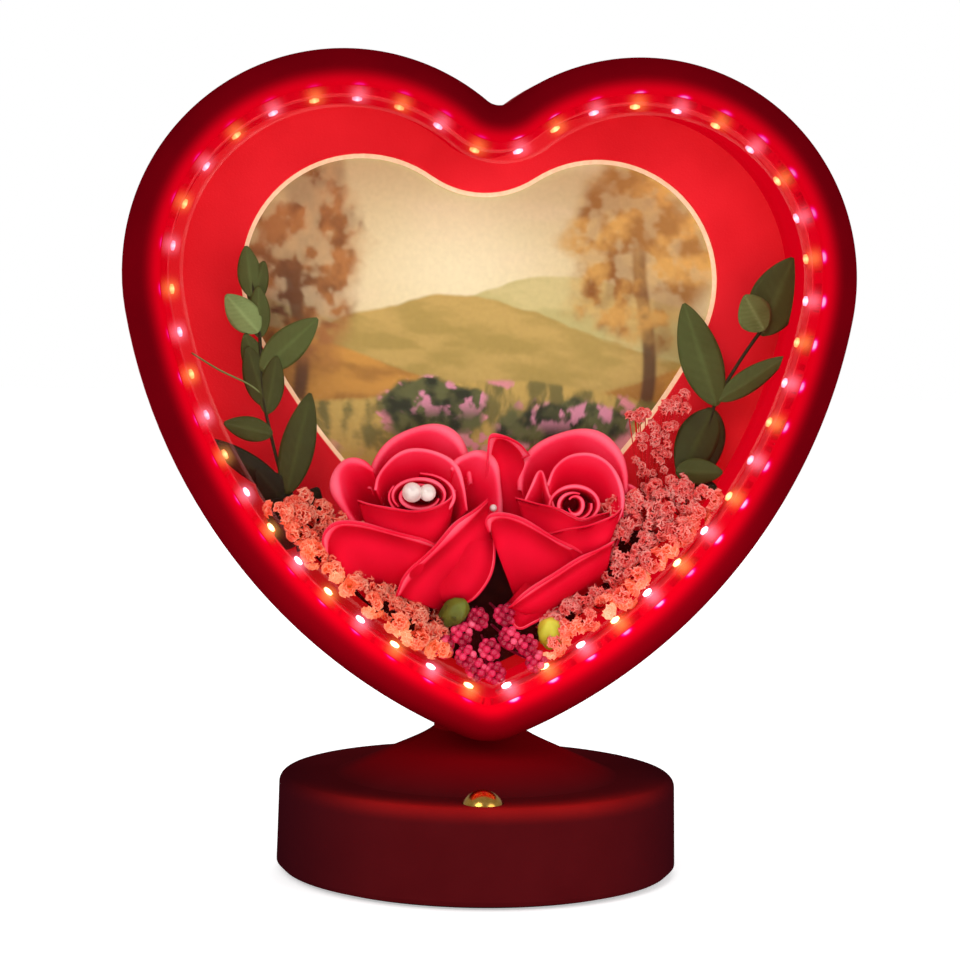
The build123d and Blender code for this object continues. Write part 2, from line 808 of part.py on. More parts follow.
def cells():
    return [bay_back + cell_pitch * (k - (cell_count - 1) / 2) for k in range(cell_count)]


def battery_cell(number):
    # Dry cell with a raised end, turned about for every second one
    y = cells()[number]
    sense = 1 if number % 2 == 0 else -1
    can = cell_long - 1.2
    start = Plane((-sense * cell_long / 2, y, cell_z), x_dir=(0, 1, 0), z_dir=(sense, 0, 0))
    body = extrude(start * Circle(cell_radius), amount=can)
    body = fillet(body.edges().filter_by(GeomType.CIRCLE), 0.6)
    knob = extrude(start.offset(can) * Circle(2.6), amount=cell_long - can)
    return body + knob


def contact_plates():
    made = []
    for y in cells():
        for side in (-1, 1):
            outer = side * bay_half_long
            inner = side * (bay_half_long - contact_sheet)
            x0, x1 = sorted((outer, inner))
            plate = block(x0, x1, y - 5.0, y + 5.0, cell_z - 5.5, cell_z + 5.5)
            spot = Plane((inner + side * contact_bite, y, cell_z), x_dir=(0, 1, 0), z_dir=(-side, 0, 0))
            reach = bay_half_long - contact_sheet - cell_long / 2 - contact_bite
            made.append(plate + extrude(spot * Circle(2.4), amount=reach))
    return made


def plate_screws():
    made = []
    head_z = foot_high + head_recess_deep - 0.3
    for x, y in plate_screw_places():
        head = upright(x, y, screw_head, head_z - screw_head_high + 0.2, head_z)
        head -= Pos(x, y, head_z - screw_head_high) * Box(3.2, 0.7, 1.4)
        head -= Pos(x, y, head_z - screw_head_high) * Box(0.7, 3.2, 1.4)
        made.append(head + upright(x, y, screw_shank, head_z, plate_top + screw_long - 2.0))
    return made


def foot_ring():
    return upright(0, 0, foot_outer, 0, foot_high) - upright(0, 0, foot_inner, -1, foot_high + 1)


def power_button():
    cap = upright(button_x, button_y, button_radius, base_high - button_skirt, base_high)
    round_radius = (button_radius**2 + button_dome**2) / (2 * button_dome)
    dome = Pos(button_x, button_y, base_high + button_dome - round_radius) * Sphere(round_radius)
    keep = upright(button_x, button_y, button_radius, base_high, base_high + button_dome + 1.0)
    body = cap + (dome & keep)
    body += upright(button_x, button_y, button_stem, stem_low, base_high - button_skirt + 0.5)
    groove_top = guide_low - clip_gap
    groove = upright(button_x, button_y, button_stem + 1.0, groove_top - clip_sheet, groove_top)
    return body - (groove - upright(button_x, button_y, button_stem - 0.4, 0, base_high))


def button_clip():
    top = guide_low - clip_gap
    ring = upright(button_x, button_y, clip_radius, top - clip_sheet, top)
    ring -= upright(button_x, button_y, button_stem - 0.35, 0, base_high)
    return ring - block(button_x - 1.2, button_x + 1.2, button_y - 5.0, button_y, 0, base_high)


def switch_plunger():
    low = switch_top - plunger_deep + button_stroke + 0.2
    return upright(button_x, button_y, plunger_radius, low, stem_low)


def push_switch():
    half = switch_side / 2
    body = block(button_x - half, button_x + half, button_y - half, button_y + half, circuit_top, switch_top)
    hole = plunger_radius + plunger_fit
    return body - upright(button_x, button_y, hole, switch_top - plunger_deep, switch_top + 1)


def control_board():
    half = circuit_half_wide
    body = block(-half - 2.0, half, circuit_front, circuit_back, circuit_low, circuit_top)
    body = fillet(body.edges().filter_by(Axis.Z), 2.0)
    for x in (-8.0, 2.0):
        near, far = circuit_back - 12.0, circuit_back - 8.0
        body += block(x, x + 5.0, near, far, circuit_top - 0.1, circuit_top + 1.6)
    return body


def ballast_plate():
    body = upright(0, 0, ballast_radius, plate_top, plate_top + ballast_sheet)
    body &= block(-base_radius, base_radius, -base_radius, ballast_back, 0, base_high)
    for x, y in post_places():
        body -= upright(x, y, post_radius + 0.4, plate_top - 1.0, circuit_low)
    for x, y in plate_screw_places():
        body -= upright(x, y, plate_boss + 0.5, plate_top - 1.0, circuit_low)
    return body


def green_buds():
    made = []
    for x, z in (within(-0.097, 0.280), within(0.200, 0.233)):
        body = Sphere(3.4) + Pos(0, 0, 3.2) * Cone(3.0, 0.8, 5.0)
        bud = Pos(x, -14.0, z) * Rot(60, 0, 0) * body
        made.append(bud + rod((x, -13.0, z), (x, foam_front - root_gap, z - 2.0), 0.7))
    return made


def berry_cluster():
    body = None
    spots = [
        (-0.068, 0.205, -18.0),
        (-0.011, 0.229, -14.0),
        (0.057, 0.205, -19.0),
        (0.011, 0.173, -20.0),
        (0.091, 0.237, -14.0),
        (-0.034, 0.260, -19.0),
        (0.034, 0.268, -13.0),
    ]
    root_x, root_z = within(0.0, 0.205)
    for across, up, y in spots:
        x, z = within(across, up)
        stalk = rod((root_x, foam_front - root_gap, root_z), (x, y, z), stalk_radius)
        berry = stalk + ball((x, y, z), 2.0)
        body = berry if body is None else body + berry
    return body


def parts():
    return {
        "front_bezel": front_bezel(),
        "rear_shell": rear_shell(),
        "rear_door": rear_door(),
        "hinge_pin": hinge_pin(),
        "door_magnets": door_magnets(),
        "frame_magnets": frame_magnets(),
        "door_pads": door_pads(),
        "heart_screws": heart_screws(),
        "front_window": front_window(),
        "led_strip": led_strip(),
        "leds_cool": leds(0),
        "leds_warm": leds(1),
        "mat_card": mat_card(),
        "mat_liner": mat_liner(),
        "photo_print": photo_print(),
        "back_board": back_board(),
        "flower_foam": flower_foam(),
        "rose_left": rose(within(*rose_left_share), -6.0),
        "rose_right": rose(within(*rose_right_share), 6.0),
        "pearls": pearls(),
        "leaf_sprig_left": leaf_sprig_left(),
        "leaf_sprig_right": leaf_sprig_right(),
        "filler_left": filler(-1, 0.70, 0.92, 7),
        "filler_right": filler(1, 0.68, 0.88, 7),
        "green_buds": green_buds(),
        "berry_cluster": berry_cluster(),
        "lead_wires": lead_wires(),
        "neck_tube": neck_tube(),
        "neck_nut_top": hex_nut(pad_high),
        "neck_nut_bottom": hex_nut(neck_roof - nut_high),
        "base_shell": base_shell(),
        "base_plate": base_plate(),
        "battery_door": battery_door(),
        "battery_cell_1": battery_cell(0),
        "battery_cell_2": battery_cell(1),
        "battery_cell_3": battery_cell(2),
        "contact_plates": contact_plates(),
        "plate_screws": plate_screws(),
        "foot_ring": foot_ring(),
        "power_button": power_button(),
        "button_clip": button_clip(),
        "switch_plunger": switch_plunger(),
        "push_switch": push_switch(),
        "control_board": control_board(),
        "ballast_plate": ballast_plate(),
    }


os.makedirs("parts", exist_ok=True)
for name, made in parts().items():
    whole = Compound(children=made) if isinstance(made, list) else made
    export_step(whole, "parts/" + name + ".step")
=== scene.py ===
import math

import bpy
import numpy as np
from mathutils import Matrix, Vector

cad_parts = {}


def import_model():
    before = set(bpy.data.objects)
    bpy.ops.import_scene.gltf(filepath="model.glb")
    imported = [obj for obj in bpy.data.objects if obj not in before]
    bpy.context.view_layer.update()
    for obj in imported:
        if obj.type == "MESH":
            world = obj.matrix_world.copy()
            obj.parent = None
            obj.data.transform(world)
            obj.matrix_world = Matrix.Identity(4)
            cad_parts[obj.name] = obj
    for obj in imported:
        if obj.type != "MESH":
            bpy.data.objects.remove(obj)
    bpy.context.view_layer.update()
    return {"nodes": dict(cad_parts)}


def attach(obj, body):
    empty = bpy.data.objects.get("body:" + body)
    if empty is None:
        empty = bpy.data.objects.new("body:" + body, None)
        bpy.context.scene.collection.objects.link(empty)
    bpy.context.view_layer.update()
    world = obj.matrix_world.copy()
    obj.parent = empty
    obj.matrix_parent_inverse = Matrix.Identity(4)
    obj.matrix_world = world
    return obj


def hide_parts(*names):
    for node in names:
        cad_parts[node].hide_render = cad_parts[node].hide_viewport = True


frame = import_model()
nodes = frame["nodes"]
dice = np.random.default_rng(41)

# All shapes below are worked out in millimetres and turned into metres when a mesh is made
MM = 0.001

# Heart outline and mat opening, as in the construction: half width, radius of lobe, flank, tip and notch,
# drop from the lobe centres to the tip, height of the lobe centres
HEART = (100.0, 60.0, 153.0, 18.0, 4.5, 126.4, 165.5)
MAT = (67.6, 34.2, 190.0, 5.0, 26.0, 85.2, 165.7)

# Depths, lowest at the front
FRONT_Y = -31.0
WINDOW_Y = -27.5
REBATE_Y = -25.5
SEAM_Y = -8.0
FOAM_Y = -3.2
MAT_Y = 6.0
PRINT_Y = 8.3

LED_COUNT = 46
LED_INSET = 12.71
LED_Y = -20.5
BASE_RADIUS = 56.0
BASE_HIGH = 26.8

# Points along notch, lobe, flank and tip of a finely drawn heart
FINE = (12, 240, 170, 44)
GOLDEN_TURN = 2.399963
WHITE = (1.0, 1.0, 1.0, 1.0)


def half_arcs(shape, inset):
    # Tangent arcs of the right half of a heart, from notch to tip
    half_width, lobe, flank, tip, notch, drop, level = shape
    spread = half_width - lobe
    lobe_c = (spread, 0.0)
    tip_c = (0.0, tip - drop)
    notch_c = (0.0, math.sqrt((lobe + notch) ** 2 - spread**2))
    gap = math.dist(lobe_c, tip_c)
    along = ((flank - lobe) ** 2 - (flank - tip) ** 2 + gap**2) / (2 * gap)
    across = math.sqrt((flank - lobe) ** 2 - along**2)
    ux = (tip_c[0] - lobe_c[0]) / gap
    uz = (tip_c[1] - lobe_c[1]) / gap
    flank_c = (lobe_c[0] + along * ux + across * uz, lobe_c[1] + along * uz - across * ux)
    at_notch = math.atan2(notch_c[1], -spread)
    at_flank = math.atan2(lobe_c[1] - flank_c[1], lobe_c[0] - flank_c[0])
    at_tip = math.atan2(tip_c[1] - flank_c[1], tip_c[0] - flank_c[0])
    return [
        (notch_c, notch + inset, -math.pi / 2, at_notch - math.pi),
        (lobe_c, lobe - inset, at_notch, at_flank),
        (flank_c, flank - inset, at_flank, at_tip),
        (tip_c, tip - inset, at_tip, -math.pi / 2),
    ]


def heart_loop(shape, inset, counts=FINE):
    # Closed loop of x, z points: notch, right half, tip, left half
    right = []
    for (centre, radius, first, last), count in zip(half_arcs(shape, inset), counts):
        for k in range(count):
            angle = first + (last - first) * k / count
            right.append((centre[0] + radius * math.cos(angle), centre[1] + radius * math.sin(angle)))
    tip_c, tip_r, _, _ = half_arcs(shape, inset)[3]
    tip = [(0.0, tip_c[1] - tip_r)]
    left = [(-x, z) for x, z in reversed(right[1:])]
    return np.array(right + tip + left) + np.array([0.0, shape[-1]])


def heart_spot(inset, part, side=1):
    # Point and outward angle at a share of the way from notch to tip
    arcs = half_arcs(HEART, inset)
    left = part * sum(radius * abs(last - first) for _, radius, first, last in arcs)
    for number, (centre, radius, first, last) in enumerate(arcs):
        length = radius * abs(last - first)
        if left <= length or number == len(arcs) - 1:
            angle = first + (last - first) * min(left / length, 1.0)
            x = centre[0] + radius * math.cos(angle)
            z = centre[1] + radius * math.sin(angle) + HEART[-1]
            outward = angle + math.pi if number == 0 else angle
            return side * x, z, (outward if side > 0 else math.pi - outward)
        left -= length


def led_spots(inset=LED_INSET):
    # Every light as x, z, outward angle and its number along the row; odd ones are warm
    found = []
    half = LED_COUNT // 2
    for number in range(LED_COUNT):
        side = 1 if number < half else -1
        step = number if side > 0 else LED_COUNT - 1 - number
        x, z, outward = heart_spot(inset, (step + 0.5) / half, side)
        found.append((x, z, outward, number))
    return found


def smooth(low, high, value):
    # Eased rise from none at low to one at high
    t = np.clip((np.asarray(value, float) - low) / (high - low), 0.0, 1.0)
    return t * t * (3.0 - 2.0 * t)


def unit(way):
    return way / (np.linalg.norm(way, axis=-1, keepdims=True) + 1e-9)


class Shape:
    # Gathers grids and lathes into one mesh, with named marks on its points
    def __init__(self):
        self.points = []
        self.faces = []
        self.marks = {}
        self.slots = []
        self.count = 0

    def add(self, points, faces, slot=0, **marks):
        points = np.asarray(points, float).reshape(-1, 3)
        self.points.append(points)
        for face in faces:
            self.faces.append([self.count + int(i) for i in face])
            self.slots.append(slot)
        for name, values in marks.items():
            values = np.broadcast_to(np.asarray(values, float).reshape(-1), (len(points),))
            self.marks.setdefault(name, []).append((self.count, values))
        self.count += len(points)

    def piece(self, name, materials, replaces, slot, body="lamp", flat=False):
        mesh = bpy.data.meshes.new(name)
        points = np.concatenate(self.points) * MM
        mesh.from_pydata(points.tolist(), [], self.faces)
        mesh.update()
        for mark, runs in self.marks.items():
            whole = np.zeros(self.count)
            for start, values in runs:
                whole[start : start + len(values)] = values
            layer = mesh.attributes.new(mark, "FLOAT", "POINT")
            layer.data.foreach_set("value", whole)
        for material in materials:
            mesh.materials.append(material)
        mesh.polygons.foreach_set("material_index", self.slots)
        if not flat:
            mesh.shade_smooth()
        thing = bpy.data.objects.new(name, mesh)
        bpy.context.scene.collection.objects.link(thing)
        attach(thing, body)
        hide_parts(replaces)
        return thing


def grid_faces(rows, columns, wrap_rows=False, wrap_columns=False):
    faces = []
    for i in range(rows if wrap_rows else rows - 1):
        for j in range(columns if wrap_columns else columns - 1):
            a = i * columns + j
            b = i * columns + (j + 1) % columns
            c = ((i + 1) % rows) * columns + (j + 1) % columns
            d = ((i + 1) % rows) * columns + j
            faces.append((a, b, c, d))
    return faces


def capped_faces(rows, columns):
    # Rings joined into a tube that is closed at both ends
    first = tuple(range(columns - 1, -1, -1))
    last = tuple((rows - 1) * columns + k for k in range(columns))
    return grid_faces(rows, columns, wrap_columns=True) + [first, last]


def sheet_shell(grid, thick):
    # Closed thin shell about a grid of points
    rows, columns = grid.shape[:2]
    normal = unit(np.cross(np.gradient(grid, axis=0), np.gradient(grid, axis=1)))
    front = grid + normal * thick / 2
    back = grid - normal * thick / 2
    points = np.concatenate([front.reshape(-1, 3), back.reshape(-1, 3)])
    total = rows * columns
    faces = grid_faces(rows, columns)
    faces += [tuple(total + i for i in reversed(face)) for face in faces]
    rim = [(0, j) for j in range(columns)] + [(i, columns - 1) for i in range(1, rows)]
    rim += [(rows - 1, j) for j in range(columns - 2, -1, -1)] + [(i, 0) for i in range(rows - 2, 0, -1)]
    rim = [i * columns + j for i, j in rim]
    for a, b in zip(rim, rim[1:] + rim[:1]):
        faces.append((b, a, total + a, total + b))
    return points, faces


def lathe(profile, count, centre=(0.0, 0.0, 0.0), lobes=0, depth=0.0):
    # Closed turned shape about the upright axis from radius, height pairs that start and end on the axis
    angles = np.linspace(0, 2 * math.pi, count, endpoint=False)
    points = [(0.0, 0.0, profile[0][1])]
    for radius, high in profile[1:-1]:
        wave = radius * (1.0 + depth * np.cos(lobes * angles))
        points += list(zip(wave * np.cos(angles), wave * np.sin(angles), np.full(count, high)))
    points.append((0.0, 0.0, profile[-1][1]))
    rings = len(profile) - 2
    faces = [(0, 1 + (k + 1) % count, 1 + k) for k in range(count)]
    for ring in range(rings - 1):
        for k in range(count):
            a = 1 + ring * count + k
            b = 1 + ring * count + (k + 1) % count
            faces.append((a, b, b + count, a + count))
    last = 1 + rings * count
    start = 1 + (rings - 1) * count
    faces += [(start + k, start + (k + 1) % count, last) for k in range(count)]
    return np.array(points) + np.array(centre), faces


def ball(radius, rings, top):
    # Profile of a ball whose top is dented to a share of its radius
    turns = np.linspace(0, math.pi, rings)
    return [(radius * math.sin(a), -radius * math.cos(a)) for a in turns[:-1]] + [(0.0, radius * top)]


def spline(p0, p1, p2, p3, t):
    # Point between p1 and p2 on a smooth line through all four
    square = 2 * p0 - 5 * p1 + 4 * p2 - p3
    cube = 3 * p1 - p0 - 3 * p2 + p3
    return 0.5 * (2 * p1 + (p2 - p0) * t + square * t**2 + cube * t**3)


def curve(spots, count):
    # Smooth line of so many points through the given ones
    spots = np.asarray(spots, float)
    row = np.concatenate([[2 * spots[0] - spots[1]], spots, [2 * spots[-1] - spots[-2]]])
    line = []
    for where in np.linspace(0, len(spots) - 1, count):
        k = min(int(where), len(spots) - 2)
        line.append(spline(*row[k : k + 4], where - k))
    return np.array(line)


def tube(spots, radius, sides=8, steps=6):
    # Round stalk through the given points
    spots = np.asarray(spots, float)
    row = np.concatenate([spots[:1], spots, spots[-1:]])
    line = []
    for k in range(len(spots) - 1):
        line += [spline(*row[k : k + 4], t) for t in np.linspace(0, 1, steps, endpoint=False)]
    line = np.array(line + [spots[-1]])
    way = unit(np.gradient(line, axis=0))
    across = unit(np.cross(way, np.array([0.31, 0.87, 0.38])))
    other = np.cross(way, across)
    angles = np.linspace(0, 2 * math.pi, sides, endpoint=False)
    rings = [line + radius * (across * math.cos(a) + other * math.sin(a)) for a in angles]
    return np.stack(rings, axis=1), capped_faces(len(line), sides)


# Materials


def linear(red, green, blue):
    # Colour as seen on a screen, 0 to 255, turned into the values a shader takes
    made = []
    for value in (red, green, blue):
        value = value / 255.0
        made.append(value / 12.92 if value <= 0.04045 else ((value + 0.055) / 1.055) ** 2.4)
    return (*made, 1.0)


def tones(*rows):
    # Stops of a ramp from rows of place, red, green and blue
    return [(row[0], linear(*row[1:])) for row in rows]


class Finish:
    # Principled material with a few helpers for its nodes
    def __init__(self, name, rough=0.5, shine=0.3, metal=0.0):
        self.material = bpy.data.materials.new(name)
        self.material.use_nodes = True
        self.tree = self.material.node_tree
        self.main = self.tree.nodes["Principled BSDF"]
        self.main.inputs["Roughness"].default_value = rough
        self.main.inputs["Specular IOR Level"].default_value = shine
        self.main.inputs["Metallic"].default_value = metal

    def node(self, kind, **values):
        made = self.tree.nodes.new(kind)
        for name, value in values.items():
            setattr(made, name, value)
        return made

    def put(self, value, socket):
        # A number or a colour stays on the socket itself, anything else is linked to it
        if isinstance(value, (int, float, tuple)):
            socket.default_value = value
        else:
            self.tree.links.new(value, socket)

    def mark(self, name):
        return self.node("ShaderNodeAttribute", attribute_name=name).outputs["Fac"]

    def place(self):
        return self.node("ShaderNodeTexCoord").outputs["Object"]

    def axis(self, name):
        made = self.node("ShaderNodeSeparateXYZ")
        self.put(self.place(), made.inputs["Vector"])
        return made.outputs[name]

    def noise(self, scale, detail=4.0):
        made = self.node("ShaderNodeTexNoise")
        self.put(scale, made.inputs["Scale"])
        self.put(detail, made.inputs["Detail"])
        self.put(self.place(), made.inputs["Vector"])
        return made.outputs["Fac"]

    def calc(self, kind, first, second=0.0):
        made = self.node("ShaderNodeMath", operation=kind)
        self.put(first, made.inputs[0])
        self.put(second, made.inputs[1])
        return made.outputs["Value"]

    def shaken(self, value, scale, amount):
        # The value with a little noise about it
        wave = self.calc("ADD", self.noise(scale), -0.5)
        return self.calc("ADD", value, self.calc("MULTIPLY", wave, amount))

    def span(self, value, first, last):
        # None at the first place and one at the last, both in millimetres
        made = self.node("ShaderNodeMapRange")
        self.put(first * MM, made.inputs["From Min"])
        self.put(last * MM, made.inputs["From Max"])
        self.put(value, made.inputs["Value"])
        return made.outputs["Result"]

    def blend(self, share, base, top, kind="MIX"):
        made = self.node("ShaderNodeMix", data_type="RGBA", blend_type=kind)
        self.put(share, made.inputs[0])
        self.put(base, made.inputs[6])
        self.put(top, made.inputs[7])
        return made.outputs[2]

    def ramp(self, value, stops):
        made = self.node("ShaderNodeValToRGB")
        rows = made.color_ramp.elements
        while len(rows) < len(stops):
            rows.new(0.5)
        for row, (spot, colour) in zip(rows, stops):
            row.position = spot
            row.color = colour
        self.put(value, made.inputs["Fac"])
        return made.outputs["Color"]

    def mottle(self, scale, dark, light, detail=4.0):
        # Two close tones mixed by noise
        return self.ramp(self.noise(scale, detail), tones((0.3, *dark), (0.7, *light)))

    def colour(self, source):
        self.put(source, self.main.inputs["Base Color"])

    def bump(self, scale, strength):
        # Fine grain, 0.2 mm deep at full strength
        made = self.node("ShaderNodeBump")
        self.put(strength, made.inputs["Strength"])
        self.put(0.2 * MM, made.inputs["Distance"])
        self.put(self.noise(scale, 3.0), made.inputs["Height"])
        self.put(made.outputs["Normal"], self.main.inputs["Normal"])

    def glow(self, colour, strength):
        self.put(colour, self.main.inputs["Emission Color"])
        self.put(strength, self.main.inputs["Emission Strength"])


def plain(name, dark, light, scale, rough, shine, metal=0.0, bump=0.15):
    # Two close tones mixed by noise, with a fine grain
    look = Finish(name, rough, shine, metal)
    look.colour(look.ramp(look.noise(scale), tones((0.32, *dark), (0.68, *light))))
    look.bump(2.5 * scale, bump)
    return look.material


def dress(material, *names):
    # Gives construction nodes their looks and leaves them as they are
    for name in names:
        slots = nodes[name].data.materials
        slots.clear()
        slots.append(material)


# Bezel, window and lights


def swept(profile):
    # Grid of points from inset, depth pairs carried round the heart
    rows = []
    for inset, y in profile:
        loop = heart_loop(HEART, inset)
        rows.append(np.column_stack([loop[:, 0], np.full(len(loop), y), loop[:, 1]]))
    return np.array(rows)


def light_gaps(grid, inset=LED_INSET):
    # Squared distance from every point to the nearest light, seen from the front, and that light's number
    spots = np.array([(x, z) for x, z, _, _ in led_spots(inset)])
    gaps = np.stack([((row[:, None, [0, 2]] - spots[None]) ** 2).sum(2) for row in grid])
    return gaps.min(2), gaps.argmin(2)


def bezel():
    # Rounded ring with a lip round the window and a wall behind it that the lights shine on
    outer, corner = 0.5, 7.0
    lip_inset, lip = 10.3, 2.5
    wall, wall_back = 12.3, 9.9
    tongue, tongue_y = 2.7, -9.0
    wall_rows = (REBATE_Y, -24.0, -22.5, -21.0, -19.5, -18.0, -16.0, -13.0, tongue_y, -4.0, MAT_Y)
    profile = [(outer, SEAM_Y), (outer, -14.0), (outer, -19.0)]
    for a in np.linspace(0, math.pi / 2, 13):
        profile.append((outer + corner - corner * math.cos(a), FRONT_Y + corner - corner * math.sin(a)))
    for a in np.linspace(0, math.pi / 2, 9):
        profile.append((lip_inset - lip + lip * math.sin(a), FRONT_Y + lip - lip * math.cos(a)))
    profile += [(lip_inset, -27.2), (lip_inset, REBATE_Y)]
    profile += [(wall, y) for y in wall_rows]
    profile += [(wall_back, MAT_Y), (wall_back, tongue_y), (tongue, tongue_y), (tongue, SEAM_Y)]
    grid = swept(profile)
    insets = np.array([inset for inset, _ in profile])[:, None]
    depth = np.array([y for _, y in profile])[:, None]
    level = grid[:, :, 2]
    # Light through the lip and on the wall, stronger near the tip
    near_tip = smooth(130.0, 60.0, level)
    glow = 0.03 + 0.62 * smooth(4.5, 10.4, insets) ** 1.8 + 0.16 * near_tip * smooth(-1.0, 8.0, insets)
    lit_wall = 0.60 + 0.02 * smooth(-8.0, -18.0, depth)
    behind = depth > FRONT_Y + corner + 0.1
    glow = np.where(behind, np.where(insets > 9.0, lit_wall, 0.0), glow)
    glow = glow * (1.0 - 0.15 * smooth(70.0, 200.0, level))
    # A spark of every light on the lip and the wall
    bright = []
    for x, z, _, _ in led_spots():
        bright.append(0.62 + 0.16 * dice.random() + (0.22 if x > 0 else 0.0) - 0.15 * smooth(150.0, 205.0, z))
    spread, nearest = light_gaps(grid)
    off = np.where(depth > REBATE_Y - 0.1, depth - LED_Y, 0.0)
    hot = np.array(bright)[nearest] * smooth(3.6, 2.4, np.sqrt(spread + off**2)) * smooth(9.0, 10.2, insets)
    shape = Shape()
    shape.add(grid, grid_faces(*grid.shape[:2], wrap_rows=True, wrap_columns=True), glow=glow, hot=hot)
    look = Finish("bezel_red", rough=0.34, shine=0.0)
    tone = look.shaken(look.mark("glow"), 55.0, 0.06)
    look.colour(look.ramp(tone, tones((0.0, 84, 1, 8), (0.3, 98, 1, 9), (0.7, 120, 1, 12))))
    sparks = [
        (0.0, (1.0, 0.0, 0.012, 1.0)),
        (0.4, (1.0, 0.0, 0.06, 1.0)),
        (0.7, (1.0, 0.02, 0.42, 1.0)),
        (1.0, (0.92, 0.66, 1.0, 1.0)),
    ]
    strength = look.calc("ADD", tone, look.calc("MULTIPLY", look.mark("hot"), 0.32))
    look.glow(look.ramp(look.mark("hot"), sparks), strength)
    look.bump(900.0, 0.06)
    shape.piece("bezel_body", [look.material], "front_bezel", "heart_red")


def window():
    # Clear sheet with a raised middle, thicker to the eye along its band, tinted with painted red light, and
    # along its step, painted as a pale highlight
    rim, step, step_y, corner = 10.5, 15.5, -28.5, 1.0
    profile = [(step, REBATE_Y), (rim, REBATE_Y), (rim, -27.3)]
    profile += [(inset, WINDOW_Y) for inset in (10.7, 11.3, 12.0, 12.7, 13.4, 14.1, 14.7, 15.3)]
    band = len(profile) + 1
    profile += [(step, -27.7), (step, step_y)]
    for a in np.linspace(0.3, math.pi / 2, 5):
        profile.append((step + corner - corner * math.cos(a), step_y - corner * math.sin(a)))
    grid = swept(profile)
    rows, columns = grid.shape[:2]
    # A soft patch of light on the band in front of every light
    spread, nearest = light_gaps(grid, 13.0)
    on_band = np.array([y == WINDOW_Y for _, y in profile])[:, None]
    patch = np.exp(-spread / 4.0) * on_band * (1.0 - 0.35 * smooth(95.0, 190.0, grid[:, :, 2]))
    marks = dict(patch=patch[:band], kind=nearest[:band] % 2)
    shape = Shape()
    shape.add(grid[:band], grid_faces(band, columns, wrap_columns=True), slot=1, **marks)
    shape.add(grid[band - 1 :], grid_faces(rows - band + 1, columns, wrap_columns=True), slot=2)
    shape.add(grid[-1], [tuple(range(columns))])
    shape.add(swept([(17.5, WINDOW_Y)]), [tuple(range(columns - 1, -1, -1))])
    clear = Finish("window_clear", rough=0.06, shine=0.5)
    clear.colour(clear.mottle(30.0, (70, 30, 30), (90, 44, 44)))
    # The band is tinted red as painted light from the lights behind it
    edge = Finish("window_edge", rough=0.12, shine=0.5)
    edge.colour(edge.mottle(160.0, (190, 20, 30), (220, 50, 54)))
    glint = edge.ramp(edge.mark("kind"), [(0.0, (1.0, 0.36, 0.50, 1.0)), (1.0, (1.0, 0.42, 0.10, 1.0))])
    edge.glow(glint, edge.calc("MULTIPLY", edge.mark("patch"), 20.0))
    # Painted highlight: the step is a pale pink line
    line = Finish("window_step_highlight", rough=0.12, shine=0.5)
    line.colour(line.mottle(160.0, (236, 96, 96), (255, 150, 140)))
    for look, alpha in ((clear, 0.012), (edge, 0.03), (line, 0.12)):
        look.put(alpha, look.main.inputs["Alpha"])
    shape.piece("window_sheet", [clear.material, edge.material, line.material], "front_window", "clear")


def light_chip(x, z, outward):
    # Rounded bright body of one light, long side along the row
    long, proud, deep = 2.6, 1.3, 2.2
    rows, columns = 7, 14
    turns = np.linspace(0, 2 * math.pi, columns, endpoint=False)
    outline = np.stack([np.cos(turns), np.sin(turns)])
    outline = np.sign(outline) * np.abs(outline) ** 0.6
    share = np.linspace(0, 1, rows)[:, None]
    swell = np.sin(math.pi * np.clip(share, 0.06, 0.94)) ** 0.35
    lift = proud / 2 * (swell * outline[0] - 1.0)
    side = (share - 0.5) * long * np.ones(columns)
    c, s = math.cos(outward), math.sin(outward)
    y = LED_Y + deep / 2 * swell * outline[1]
    placed = np.stack([x + lift * c - side * s, y, z + lift * s + side * c], -1)
    core = 1.0 - 0.35 * np.abs(2.0 * share - 1.0) * np.ones(columns)
    return placed, capped_faces(rows, columns), core


def lights():
    # Paler and yellower low down, redder and weaker towards the top
    looks = [
        ("cool", (1.0, 0.86, 0.95, 1.0), (1.0, 0.30, 0.45, 1.0)),
        ("warm", (1.0, 0.80, 0.36, 1.0), (1.0, 0.30, 0.10, 1.0)),
    ]
    for which, (kind, middle, edge) in enumerate(looks):
        shape = Shape()
        for x, z, outward, number in led_spots():
            if number % 2 == which:
                placed, faces, core = light_chip(x, z, outward)
                fade = float(smooth(80.0, 125.0, z)) * (1.0 if x < 0 else 0.86)
                power = (5.0 - 4.1 * fade) * (0.55 + 0.45 * dice.random())
                shape.add(placed, faces, core=core - 0.30 * fade, power=power)
        stops = [(0.5, edge), (0.95, middle)]
        look = Finish("light_" + kind, rough=0.3)
        look.colour(look.ramp(look.mark("core"), stops))
        look.glow(look.ramp(look.shaken(look.mark("core"), 900.0, 0.15), stops), look.mark("power"))
        shape.piece("lights_" + kind, [look.material], "leds_" + kind, "led_" + kind)


# Roses with rolled petals


